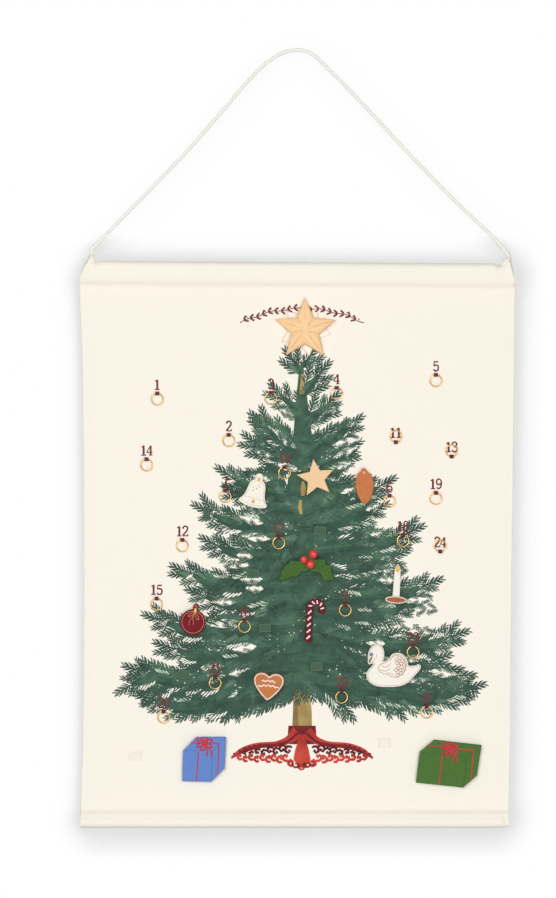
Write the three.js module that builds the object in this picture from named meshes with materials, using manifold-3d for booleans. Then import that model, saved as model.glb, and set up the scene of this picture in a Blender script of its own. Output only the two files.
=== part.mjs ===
// A textile advent calendar: a canvas panel on two dowels, hung from a nail by a cotton cord.
// Twenty-four brass rings turn in thread tacks sewn to the panel, one for each day. Twelve felt
// ornaments cling to loop tape on the panel by the hook pads on their backs.
// Millimetres, +Z up, +X to the viewer's right, the viewer on the -Y side and the wall on the +Y
// side. The origin is the middle of the cord where it passes over the nail.
import * as THREE from "three";
import { mergeVertices } from "three/addons/utils/BufferGeometryUtils.js";
import Module from "manifold-3d";

const wasm = await Module();
wasm.setup();

// Panel
const panel_width = 610; // at the top
const panel_height = 792;
const panel_drop = 297; // from the nail down to the middle of the top edge
// How far the left and right side edges draw in, at shares of the way up the flat of the panel:
// the cloth narrows between the dowels, and its foot hangs a little to the left
const edge_draw_in = [
  { up: 0, left: 1.5, right: 9 },
  { up: 0.13, left: 5, right: 7 },
  { up: 0.38, left: 6.5, right: 5.5 },
  { up: 0.63, left: 6.5, right: 3 },
  { up: 0.87, left: 4, right: 1 },
  { up: 1, left: 0, right: 0 },
];
const top_slant = 4; // how much lower the right end of the top edge hangs than the left
const cloth = 1.2;
const hem_width = 10;
const hem_fold = 0.6;

// Dowels in their sleeves
const dowel_diameter = 15;
const dowel_chamfer = 1;
const dowel_room = 0.3;
const top_dowel_inset = 27; // from the panel's side edge to the end of the dowel
const bottom_dowel_inset = 9.75;
const dowel_sides = 24;
const sleeve_steps = 8; // flat faces round a sleeve's bulge

// Cord
const cord_diameter = 4.8;
const cord_room = 0.35;
const cord_slack = 1.2; // between the cord and the sleeve that it runs through
const cord_turn = 11; // bend round the end of the top dowel
const cord_joint_gap = 0.3;
const cord_sides = 8;

// Corners of the top sleeve, which the cord draws up
const corner_lift = 8;
const corner_slope = 38; // height over which the sleeve's open end slants
const notch_width = 3; // where the cloth dips past the end of the dowel
// reach: from the end of the dowel to where the cord turns up. notch: how far the cloth dips.
const left_corner = { side: -1, reach: 10.5, notch: 0.5 };
const right_corner = { side: 1, reach: 18, notch: 3 };

// Day rings and the thread tacks that hold them
const ring_diameter = 18;
const ring_wire = 1.8;
const ring_room = 0.3; // from the wire to the cloth
const ring_lean = 0.7; // degrees that a ring turned up over its number leans to the cloth
const ring_steps = 20;
const wire_sides = 6;
const tack_width = 5.4;
const tack_thread = 0.55;
const tack_room = 0.85; // from the wire to the inside of the thread, for the ring's own curve
const tack_root = 0.3; // how deep the thread goes into the cloth

// Loop tape and hook pads
const tape_thickness = 1;
const tape_root = 0.3;
const tape_width = 17;
const tape_height = 12.5;
const tall_tape_width = 9.5;
const tall_tape_height = 18;
const nap = 0.3; // where the hooks hold the loops
const pad_thickness = 1;

// Felt ornaments
const felt = 4;
const felt_edge = 0.6;
const applique = 1.6;
const heart_thickness = 9;
const bauble_thickness = 5;
const cane_thickness = 5.5;
const cane_width = 8.6;
const cane_hook = 8.7; // radius of the hook's centre line
const star_topper_tip = 45;
const star_topper_notch = 20.5;
const star_topper_rim = 2.6; // height of its side, of its seams and of its stuffed panels
const star_topper_seam = 5.6;
const star_topper_crown = 8.2;
const flat_star_tip = 27.5;
const flat_star_notch = 12.6;
const bauble_radius = 17.8;
const berry_radii = [6.1, 5.2, 6];

const dowel_radius = dowel_diameter / 2;
const cord_radius = cord_diameter / 2;
const cloth_front = -cloth / 2;
const cloth_back = cloth / 2;
const tape_front = cloth_front - tape_thickness;
const pad_back = tape_front - nap;
const ornament_back = pad_back - pad_thickness;

const colours = {
  canvas: 0xfaf3e7,
  wood: 0xd9bd8c,
  cord: 0xf2efe6,
  brass: 0xcfa24a,
  white_felt: 0xf5efe6,
  tan_felt: 0xf3cfa0,
  peach_felt: 0xf6cda0,
  brown_felt: 0xbb7247,
  green_felt: 0x4a7a33,
  berry: 0xe22d2b,
  flame: 0xf4c84a,
  dark_red_felt: 0x8c1030,
  ginger_felt: 0xc27a48,
  blue_felt: 0x6a92d4,
  gift_green_felt: 0x4f7f3d,
  hook_pad: 0xe9e4d8,
};

const calendar = new THREE.Group();

function finish(colour, roughness, metalness = 0) {
  return new THREE.MeshStandardMaterial({ color: colours[colour], roughness, metalness });
}

function add(name, geometry, material) {
  const mesh = new THREE.Mesh(geometry, material);
  mesh.name = name;
  calendar.add(mesh);
  return mesh;
}

// Solids to join and cut

function to_solid(geometry) {
  const bare = new THREE.BufferGeometry();
  bare.setAttribute("position", geometry.getAttribute("position"));
  bare.setIndex(geometry.getIndex());
  const merged = mergeVertices(bare, 1e-4);
  return new wasm.Manifold(
    new wasm.Mesh({
      numProp: 3,
      vertProperties: new Float32Array(merged.getAttribute("position").array),
      triVerts: new Uint32Array(merged.getIndex().array),
    }),
  );
}

function to_geometry(solid) {
  const mesh = solid.getMesh();
  const geometry = new THREE.BufferGeometry();
  geometry.setAttribute("position", new THREE.BufferAttribute(mesh.vertProperties, 3));
  geometry.setIndex(new THREE.BufferAttribute(mesh.triVerts, 1));
  return geometry;
}

// A solid through a row of side views. Each station is {x, outline}, and each outline is a list of
// [y, z] points, anticlockwise as seen from the right end.
function loft(stations) {
  const positions = [];
  const faces = [];
  const count = stations[0].outline.length;
  for (const { x, outline } of stations) {
    for (const [y, z] of outline) positions.push(x, y, z);
  }
  for (let s = 0; s + 1 < stations.length; s++) {
    for (let k = 0; k < count; k++) {
      const here = s * count + k;
      const next = s * count + ((k + 1) % count);
      faces.push(here, next, next + count, here, next + count, here + count);
    }
  }
  const last = (stations.length - 1) * count;
  for (const [start, near_end] of [[0, true], [last, false]]) {
    const contour = stations[start / count].outline.map(([y, z]) => new THREE.Vector2(y, z));
    for (const [a, b, c] of THREE.ShapeUtils.triangulateShape(contour, [])) {
      if (near_end) faces.push(start + a, start + c, start + b);
      else faces.push(start + a, start + b, start + c);
    }
  }
  const geometry = new THREE.BufferGeometry();
  geometry.setAttribute("position", new THREE.Float32BufferAttribute(positions, 3));
  geometry.setIndex(faces);
  return geometry;
}

// A value read from a row of [place, value] pairs, in straight lines between them
function along(pairs, place) {
  if (place <= pairs[0][0]) return pairs[0][1];
  for (let k = 1; k < pairs.length; k++) {
    const [from, low] = pairs[k - 1];
    const [to, high] = pairs[k];
    if (place <= to) return THREE.MathUtils.mapLinear(place, from, to, low, high);
  }
  return pairs[pairs.length - 1][1];
}

// The sleeves. Each wraps its dowel, draws in to a narrower roll that has room for the cord, and
// closes at its seam.
const sleeve_radius = dowel_radius + dowel_room + cloth;
const roll_radius = cord_radius + cord_slack + cloth;
const roll_drop = dowel_radius + dowel_room + cord_radius; // from the dowel's centre to the roll's
const draw_in = Math.asin((sleeve_radius - roll_radius) / roll_drop);
const seam_drop = roll_drop + roll_radius / Math.sin(draw_in);
const half_width = panel_width / 2;
const foot = edge_draw_in[0];
const foot_middle = (foot.left - foot.right) / 2;
const foot_width = panel_width - foot.left - foot.right;
const foot_scale = foot_width / panel_width;
const top_dowel_length = panel_width - 2 * top_dowel_inset;
const bottom_dowel_length = foot_width - 2 * bottom_dowel_inset;
const top_dowel_end = top_dowel_length / 2;
const bottom_dowel_end = bottom_dowel_length / 2;

const slant = (x) => (-top_slant * x) / panel_width;
const top_dowel_z = (x) => -panel_drop - sleeve_radius + slant(x);
const bottom_dowel_z = -panel_drop - panel_height + sleeve_radius;

// The flat of the panel, between the two seams
const seam_hem = 1;
const flat_top = top_dowel_z(0) - seam_drop - top_slant / 2 - 2 * seam_hem;
const flat_foot = bottom_dowel_z + seam_drop + 2 * seam_hem;
const side_edges = edge_draw_in.map(({ up, left, right }) => ({
  z: THREE.MathUtils.lerp(flat_foot, flat_top, up),
  left: left - half_width,
  right: half_width - right,
}));
const corner_at = (x) => (x < 0 ? left_corner : right_corner);
const cord_exit = ({ side, reach }) => side * (top_dowel_end + reach);
const shoulder = ({ side, reach }) => side * (top_dowel_end + reach - cord_radius);

// Side view of a sleeve, from its front by way of its round to its back. wall is 0 for the outside
// of the cloth and the cloth's thickness for the inside.
function sleeve_view({ round_z, round_r, narrow_z, narrow_r, seam_z }, wall) {
  const up = Math.sign(round_z - seam_z);
  const side = Math.asin((round_r - narrow_r) / Math.abs(round_z - narrow_z));
  const close = Math.asin(narrow_r / Math.abs(narrow_z - seam_z));
  const narrow = narrow_r - wall;
  const round = round_r - wall;
  const low = [narrow * Math.cos(close), narrow_z - up * narrow * Math.sin(close)];
  const view = [[-low[0], low[1]]];
  for (let k = 0; k <= sleeve_steps; k++) {
    const a = Math.PI + side - (k / sleeve_steps) * (Math.PI + 2 * side);
    view.push([round * Math.cos(a), round_z + up * round * Math.sin(a)]);
  }
  view.push(low);
  return { view, tip_z: narrow_z - (up * narrow) / Math.sin(close) };
}

function top_sleeve(x) {
  const corner = corner_at(x);
  const at = Math.abs(x);
  const notch_end = top_dowel_end + notch_width;
  const peak = Math.abs(shoulder(corner));
  const round_r = along(
    [
      [top_dowel_end, sleeve_radius],
      [notch_end, 0.86 * sleeve_radius],
      [peak, 0.6 * sleeve_radius],
      [half_width, roll_radius],
    ],
    at,
  );
  const lift = along(
    [
      [top_dowel_end, 0],
      [notch_end, -corner.notch],
      [peak, corner_lift],
    ],
    at,
  );
  const dowel_z = top_dowel_z(x);
  return {
    round_z: dowel_z + sleeve_radius + lift - round_r,
    round_r,
    narrow_z: dowel_z - roll_drop,
    narrow_r: roll_radius,
    seam_z: dowel_z - seam_drop,
  };
}

// Past the end of the bottom dowel the empty sleeve falls together
function bottom_sleeve(x) {
  const at = Math.abs(x) * foot_scale;
  const edge = half_width * foot_scale;
  const round_r = along([[bottom_dowel_end, sleeve_radius], [edge, 1.1 * roll_radius]], at);
  const rise = along([[bottom_dowel_end, 0], [edge, 1]], at);
  return {
    round_z: bottom_dowel_z - sleeve_radius + rise + round_r,
    round_r,
    narrow_z: bottom_dowel_z + roll_drop,
    narrow_r: roll_radius,
    seam_z: bottom_dowel_z + seam_drop,
  };
}

const mirrored = (list) => [...list.map((x) => -x).reverse(), ...list];

function panel_stations() {
  const right = [
    top_dowel_end,
    top_dowel_end + notch_width,
    bottom_dowel_end / foot_scale,
    half_width - hem_width - 0.5,
    half_width - hem_width,
    half_width,
  ];
  const shoulders = [shoulder(left_corner), shoulder(right_corner)];
  return [...mirrored(right), ...shoulders].sort((a, b) => a - b);
}

function panel_view(x) {
  const top = top_sleeve(x);
  const bottom = bottom_sleeve(x);
  const hem = Math.abs(x) > half_width - hem_width - 0.25 ? hem_fold : 0;
  const heights = side_edges.map(({ z }) => z);
  const over = sleeve_view(top, 0).view;
  const under = sleeve_view(bottom, 0).view.reverse();
  const clockwise = [
    ...over,
    [cloth_back, top.seam_z],
    [cloth_back + hem, top.seam_z - seam_hem],
    ...heights.map((z) => [cloth_back + hem, z]).reverse(),
    [cloth_back + hem, bottom.seam_z + seam_hem],
    [cloth_back, bottom.seam_z],
    ...under,
    [cloth_front, bottom.seam_z],
    ...heights.map((z) => [cloth_front, z]),
    [cloth_front, top.seam_z],
  ];
  return clockwise.reverse();
}

function bore_view(sleeve) {
  const { view, tip_z } = sleeve_view(sleeve, cloth);
  const points = [...view, [0, tip_z]];
  return sleeve.round_z > sleeve.seam_z ? points.reverse() : points;
}

// Moves a solid as wide as the panel's top to lie between the side edges
function between_edges(geometry) {
  const position = geometry.getAttribute("position");
  const lefts = side_edges.map(({ z, left }) => [z, left]);
  const rights = side_edges.map(({ z, right }) => [z, right]);
  for (let k = 0; k < position.count; k++) {
    const across = 0.5 + position.getX(k) / panel_width;
    const z = position.getZ(k);
    position.setX(k, THREE.MathUtils.lerp(along(lefts, z), along(rights, z), across));
  }
  return geometry;
}

// Runs a bore a little past the panel's two side edges
function past_edges(stations) {
  const reach = (x) => (Math.abs(x) === half_width ? x * 1.02 : x);
  return stations.map(({ x, outline }) => ({ x: reach(x), outline }));
}

// The slanted open end that the cord leaves at each top corner, as the piece to cut away
function corner_cut(corner) {
  const { side } = corner;
  const exit = cord_exit(corner);
  const top = -panel_drop + slant(exit) + corner_lift;
  const start = exit + side * (cord_radius + cord_room + cloth);
  const far = side * (half_width + 20);
  const shape = new THREE.Shape();
  shape.moveTo(start, top + 1);
  shape.quadraticCurveTo(
    side * (half_width - 1.5),
    top - 0.5 * corner_slope,
    side * (half_width + 0.5),
    top - corner_slope,
  );
  shape.lineTo(far, top - corner_slope);
  shape.lineTo(far, top + 3 * corner_lift);
  shape.lineTo(start, top + 3 * corner_lift);
  return to_solid(extruded(shape, 4 * sleeve_radius, 0, 5).translate(0, 2 * sleeve_radius, 0));
}

// A flat outline drawn as the viewer sees it, x to the right and y up, and given a thickness
// towards the viewer
function extruded(shape, depth, edge = 0, curve_steps = 6, edge_steps = 1) {
  const geometry = new THREE.ExtrudeGeometry(shape, {
    depth: depth - 2 * edge,
    bevelEnabled: edge > 0,
    bevelThickness: edge,
    bevelSize: edge,
    bevelOffset: -edge,
    bevelSegments: edge_steps,
    curveSegments: curve_steps,
  });
  geometry.translate(0, 0, edge);
  return geometry.rotateX(Math.PI / 2);
}

// The cord

// Takes its steps at its own points, so that bends can have more of them than straight runs
class Route extends THREE.CatmullRomCurve3 {
  getUtoTmapping(u) {
    return u;
  }
}

function tube(points, radius) {
  const section = new THREE.Shape();
  section.absarc(0, 0, radius, 0, 2 * Math.PI);
  return new THREE.ExtrudeGeometry(section, {
    steps: points.length - 1,
    curveSegments: cord_sides / 2,
    extrudePath: new Route(points, false, "centripetal"),
  });
}

const exit_z = (x) => -panel_drop + slant(x) + corner_lift;

// The run through the top sleeve, under the dowel and up round its two ends
function sleeve_route(overrun) {
  const half = [];
  const bend_steps = 6;
  for (const corner of [left_corner, right_corner]) {
    const exit = cord_exit(corner);
    const run_z = top_dowel_z(exit) - roll_drop;
    const points = [];
    for (let k = 0; k <= bend_steps; k++) {
      const a = (k / bend_steps) * (Math.PI / 2);
      const x = exit - corner.side * cord_turn * (1 - Math.sin(a));
      points.push(new THREE.Vector3(x, 0, run_z + cord_turn * (1 - Math.cos(a))));
    }
    const top_z = exit_z(exit) + overrun;
    points.push(new THREE.Vector3(exit, 0, (run_z + cord_turn + top_z) / 2));
    points.push(new THREE.Vector3(exit, 0, top_z));
    half.push(points);
  }
  const [left, right] = half;
  const straight = [];
  const straight_steps = 12;
  for (let k = 1; k < straight_steps; k++) {
    straight.push(new THREE.Vector3().lerpVectors(left[0], right[0], k / straight_steps));
  }
  return [...left.reverse(), ...straight, ...right];
}

// The free stretch, from the left corner over the nail to the right corner
function free_route() {
  const left = cord_exit(left_corner);
  const right = cord_exit(right_corner);
  const left_z = exit_z(left) + cord_joint_gap;
  const right_z = exit_z(right) + cord_joint_gap;
  const upright = 1.5; // how far the cord goes on straight up from each corner
  const chosen = [
    [left, left_z],
    [left, left_z + upright],
    [-287.5, -279.5],
    [-280, -271],
    [-236, -226],
    [-197, -186],
    [-152, -139],
    [-108, -89],
    [-64, -38],
    [-41, -16.5],
    [-20, -3.8],
    [0, 0],
    [18, -4.2],
    [48, -31],
    [93, -77],
    [160, -149],
    [227, -217],
    [271, -259],
    [284, -272.5],
    [292.5, -283],
    [right, right_z + upright],
    [right, right_z],
  ];
  const points = chosen.map(([x, z]) => new THREE.Vector3(x, 0, z));
  return new THREE.CatmullRomCurve3(points, false, "centripetal");
}

function hanging_cord() {
  const section = new THREE.Shape();
  section.absarc(0, 0, cord_radius, 0, 2 * Math.PI);
  return new THREE.ExtrudeGeometry(section, {
    steps: 80,
    curveSegments: cord_sides / 2,
    extrudePath: free_route(),
  });
}

// Day rings

const ring_middle = (ring_diameter - ring_wire) / 2; // radius of the wire's own centre line
const pivot_y = cloth_front - ring_room - ring_wire / 2;
const tack_inside = ring_wire / 2 + tack_room;

// Places on the panel are measured to the right of its middle and down from its top edge, on a
// panel 610 wide and 792 high, and spread with its size
const spread_across = panel_width / 610;
const spread_down = panel_height / 792;
const on_panel = ([x, down]) => [x * spread_across, -panel_drop - down * spread_down];

// The middle of each ring, in the order of the days. The rings turned up over their numbers have
// their tack below them.
const turned_up = [11, 13, 24];
const ring_places = [
  [-196, 192], [-96, 250], [-37, 191], [55, 184], [194, 166], [129, 335],
  [-101, 328], [181, 630], [67, 487], [-18, 295], [138, 244], [-161, 397],
  [216, 264], [-211, 284], [-197, 479], [-74, 510], [-26, 393], [148, 390],
  [194, 331], [-187, 637], [-115, 589], [62, 609], [162, 546], [200, 397],
];

function ring_pivot(day) {
  const [x, z] = on_panel(ring_places[day - 1]);
  return new THREE.Vector3(x, pivot_y, z + (turned_up.includes(day) ? -1 : 1) * ring_middle);
}

function ring_geometry() {
  const ring = new THREE.TorusGeometry(ring_middle, ring_wire / 2, wire_sides, ring_steps);
  return ring.rotateX(Math.PI / 2).translate(0, 0, -ring_middle);
}

// The thread goes out of the cloth above the wire, round it and back in below it
function tack_solid(pivot) {
  const outside = tack_inside + tack_thread;
  const root = cloth_front + tack_root - pivot_y;
  const side_view = new THREE.Shape();
  side_view.moveTo(root, outside);
  side_view.lineTo(0, outside);
  side_view.absarc(0, 0, outside, Math.PI / 2, (3 * Math.PI) / 2, false);
  side_view.lineTo(root, -outside);
  side_view.lineTo(root, -tack_inside);
  side_view.lineTo(0, -tack_inside);
  side_view.absarc(0, 0, tack_inside, (3 * Math.PI) / 2, Math.PI / 2, true);
  side_view.lineTo(root, tack_inside);
  const arch = new THREE.ExtrudeGeometry(side_view, {
    depth: tack_width,
    bevelEnabled: false,
    curveSegments: 3,
  });
  arch.translate(0, 0, -tack_width / 2);
  const turned = new THREE.Matrix4().makeBasis(
    new THREE.Vector3(0, 1, 0),
    new THREE.Vector3(0, 0, 1),
    new THREE.Vector3(1, 0, 0),
  );
  return to_solid(arch.applyMatrix4(turned).translate(pivot.x, pivot.y, pivot.z));
}

// Outlines of the ornaments, drawn about their own middles

function star_outline(tip, notch) {
  const shape = new THREE.Shape();
  for (let k = 0; k < 10; k++) {
    const a = (k * Math.PI) / 5;
    const r = k % 2 ? notch : tip;
    if (k === 0) shape.moveTo(0, tip);
    else shape.lineTo(r * Math.sin(a), r * Math.cos(a));
  }
  return shape;
}

function bell_outline() {
  const shape = new THREE.Shape();
  shape.moveTo(-19, -19);
  shape.quadraticCurveTo(0, -26, 19, -19);
  shape.quadraticCurveTo(21.5, -16, 19, -13.5);
  shape.bezierCurveTo(11.5, -6, 14, 6, 10.5, 12);
  shape.quadraticCurveTo(8.5, 15.5, 5, 17);
  shape.quadraticCurveTo(6, 26, 0, 26);
  shape.quadraticCurveTo(-6, 26, -5, 17);
  shape.quadraticCurveTo(-8.5, 15.5, -10.5, 12);
  shape.bezierCurveTo(-14, 6, -11.5, -6, -19, -13.5);
  shape.quadraticCurveTo(-21.5, -16, -19, -19);
  return shape;
}

function cone_outline() {
  const shape = new THREE.Shape();
  shape.moveTo(0, -25.5);
  shape.bezierCurveTo(7, -24, 12.8, -8, 12.8, 2);
  shape.bezierCurveTo(12.8, 12, 9.5, 18.5, 4.5, 20.5);
  shape.bezierCurveTo(3.5, 23, 2.5, 25.5, 0, 25.5);
  shape.bezierCurveTo(-2.5, 25.5, -3.5, 23, -4.5, 20.5);
  shape.bezierCurveTo(-9.5, 18.5, -12.8, 12, -12.8, 2);
  shape.bezierCurveTo(-12.8, -8, -7, -24, 0, -25.5);
  return shape;
}

// Two leaves with prickly edges that meet under the berries
function holly_outline() {
  const shape = new THREE.Shape();
  shape.moveTo(0, 9.5);
  shape.quadraticCurveTo(1, 15.5, 5.6, 15.5);
  shape.quadraticCurveTo(10.5, 15, 9, 4);
  shape.quadraticCurveTo(14, 6.5, 23, 4.5);
  shape.quadraticCurveTo(21.5, 0, 26.5, -3.5);
  shape.quadraticCurveTo(28, -1.5, 31, -2.5);
  shape.quadraticCurveTo(30, -12, 36, -24.5);
  shape.quadraticCurveTo(32, -24.5, 29, -23.5);
  shape.quadraticCurveTo(22, -27, 18.5, -22);
  shape.quadraticCurveTo(18, -15, 10.5, -12);
  shape.quadraticCurveTo(5, -14, 0, -9);
  shape.quadraticCurveTo(-4, -13, -10.5, -11.5);
  shape.quadraticCurveTo(-16, -21, -25, -19);
  shape.quadraticCurveTo(-29, -21, -33, -23);
  shape.quadraticCurveTo(-38, -25, -43.5, -23.5);
  shape.quadraticCurveTo(-37, -17, -40.5, -11.5);
  shape.quadraticCurveTo(-34, -9, -33.5, -2.5);
  shape.quadraticCurveTo(-28.5, -3, -26, 4);
  shape.quadraticCurveTo(-17, 1, -9, 4.5);
  shape.quadraticCurveTo(-5, 9.5, 0, 9.5);
  return shape;
}

function candle_outline() {
  const shape = new THREE.Shape();
  shape.moveTo(-5.2, -19);
  shape.lineTo(5.2, -19);
  shape.lineTo(4.4, 18);
  shape.bezierCurveTo(4.4, 23, 2, 27.5, 0, 30);
  shape.bezierCurveTo(-2, 27.5, -4.4, 23, -4.4, 18);
  return shape;
}

function flame_outline() {
  const shape = new THREE.Shape();
  shape.moveTo(0, 18.6);
  shape.bezierCurveTo(3.4, 18.6, 3.4, 23.5, 0, 28.6);
  shape.bezierCurveTo(-3.4, 23.5, -3.4, 18.6, 0, 18.6);
  return shape;
}

function dish_outline() {
  const shape = new THREE.Shape();
  shape.absellipse(0, -20.5, 15.4, 5.3, 0, 2 * Math.PI, false, 0);
  return shape;
}

function cane_outline() {
  const outer = cane_hook + cane_width / 2;
  const inner = cane_hook - cane_width / 2;
  const cap = cane_width / 2;
  const hook_x = 4.6;
  const hook_z = 18.5;
  const foot_z = -26;
  const shape = new THREE.Shape();
  shape.moveTo(hook_x - outer, hook_z);
  shape.lineTo(hook_x - outer, foot_z);
  shape.absarc(hook_x - cane_hook, foot_z, cap, Math.PI, 2 * Math.PI, false);
  shape.lineTo(hook_x - inner, hook_z);
  shape.absarc(hook_x, hook_z, inner, Math.PI, -0.12 * Math.PI, true);
  const end = -0.12 * Math.PI;
  const end_x = hook_x + cane_hook * Math.cos(end);
  const end_z = hook_z + cane_hook * Math.sin(end);
  shape.absarc(end_x, end_z, cap, Math.PI + end, 2 * Math.PI + end, false);
  shape.absarc(hook_x, hook_z, outer, end, Math.PI, false);
  return shape;
}

function bauble_outline() {
  const shape = new THREE.Shape();
  const neck = 0.21;
  const neck_x = bauble_radius * Math.sin(neck);
  const neck_z = bauble_radius * Math.cos(neck);
  shape.absarc(0, 0, bauble_radius, Math.PI / 2 + neck, Math.PI / 2 - neck + 2 * Math.PI, false);
  const loop = 9; // above the ball
  shape.bezierCurveTo(neck_x, neck_z + 2, 5.2, neck_z + loop, 0, neck_z + loop);
  shape.bezierCurveTo(-5.2, neck_z + loop, -neck_x, neck_z + 2, -neck_x, neck_z);
  return shape;
}

function heart_outline() {
  const shape = new THREE.Shape();
  shape.moveTo(0, -20);
  shape.bezierCurveTo(4, -19, 21.5, -2, 21.5, 8);
  shape.bezierCurveTo(21.5, 16, 15, 19, 10, 19);
  shape.bezierCurveTo(5, 19, 2, 16.5, 0, 14.5);
  shape.bezierCurveTo(-2, 16.5, -5, 19, -10, 19);
  shape.bezierCurveTo(-15, 19, -21.5, 16, -21.5, 8);
  shape.bezierCurveTo(-21.5, -2, -4, -19, 0, -20);
  return shape;
}

function swan_outline() {
  const shape = new THREE.Shape();
  shape.moveTo(-32.5, 5);
  shape.quadraticCurveTo(-36.5, 6, -35.4, 11.5);
  shape.bezierCurveTo(-37, 26, -29, 34, -22, 33.5);
  shape.bezierCurveTo(-12, 33, -10.5, 20, -14, 9.5);
  shape.quadraticCurveTo(-7, 10.5, -4.5, 15.5);
  shape.bezierCurveTo(-2, 22.5, 10, 24, 16, 17);
  shape.quadraticCurveTo(20.5, 12, 21.5, 3.5);
  shape.quadraticCurveTo(30, 2.5, 34.5, 5.5);
  shape.quadraticCurveTo(39.5, 6, 38.5, -0.5);
  shape.bezierCurveTo(33, -9, 27, -13, 24, -17.5);
  shape.bezierCurveTo(14, -27.5, 0, -26.5, -12, -26.5);
  shape.bezierCurveTo(-30, -26.5, -38, -18, -37.5, -9);
  shape.bezierCurveTo(-37, -2, -30, 1, -27.5, 6.5);
  shape.quadraticCurveTo(-30.5, 6.5, -32.5, 5);
  return shape;
}

function wing_outline() {
  const shape = new THREE.Shape();
  shape.moveTo(-22, -1);
  shape.bezierCurveTo(-22, 8, -11, 8, -4.5, 12.5);
  shape.bezierCurveTo(-1, 20.5, 9, 20.5, 13.5, 15);
  shape.bezierCurveTo(19, 8, 20, -2, 14, -8);
  shape.bezierCurveTo(8, -14, 0, -14.5, -5, -11.5);
  shape.bezierCurveTo(-12, -8, -19, -9, -22, -1);
  return shape;
}

// A wrapped box seen a little from above and from one side
function box_outline(corners) {
  const shape = new THREE.Shape();
  corners.forEach(([x, z], k) => (k ? shape.lineTo(x, z) : shape.moveTo(x, z)));
  return shape;
}

const blue_corners = [
  [31, 31], [-10, 31], [-29, 11.5], [-30.5, -31], [10, -32], [29, -13],
];
const green_corners = [
  [46, 25.5], [-20, 33], [-40.5, 16], [-46, -27], [20, -34], [39.5, -17],
];

// The star topper is stuffed: ten panels meet at the middle and rise between their seams
function stuffed_star() {
  const rim = [];
  for (let k = 0; k < 10; k++) {
    const a = -(k * Math.PI) / 5;
    const r = k % 2 ? star_topper_notch : star_topper_tip;
    rim.push([r * Math.sin(a), r * Math.cos(a)]);
  }
  const positions = [0, 0, star_topper_seam, 0, 0, 0];
  for (const [x, y] of rim) positions.push(x, y, 0, x, y, star_topper_rim);
  const faces = [];
  for (let k = 0; k < 10; k++) {
    const next = (k + 1) % 10;
    const [ax, ay] = rim[k];
    const [bx, by] = rim[next];
    const mid = positions.length / 3;
    positions.push((ax + bx) * 0.35, (ay + by) * 0.35, star_topper_crown);
    const low_a = 2 + 2 * k;
    const low_b = 2 + 2 * next;
    faces.push(1, low_b, low_a);
    faces.push(low_a, low_b, low_b + 1, low_a, low_b + 1, low_a + 1);
    faces.push(0, low_a + 1, mid, low_a + 1, low_b + 1, mid, low_b + 1, 0, mid);
  }
  const geometry = new THREE.BufferGeometry();
  geometry.setAttribute("position", new THREE.Float32BufferAttribute(positions, 3));
  geometry.setIndex(faces);
  return geometry.rotateX(Math.PI / 2);
}

// A felt ball sewn down on its flat side
function berry_geometry(radius) {
  const profile = [new THREE.Vector2(0, 0)];
  const steps = 5;
  const flat = Math.acos(0.5);
  for (let k = 0; k <= steps; k++) {
    const a = Math.PI - flat - (k / steps) * (Math.PI - flat);
    const at = new THREE.Vector2(radius * Math.sin(a), radius * (0.5 + Math.cos(a)));
    profile.push(k === steps ? new THREE.Vector2(0, 1.5 * radius) : at);
  }
  return new THREE.LatheGeometry(profile, 12).rotateX(Math.PI);
}

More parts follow.
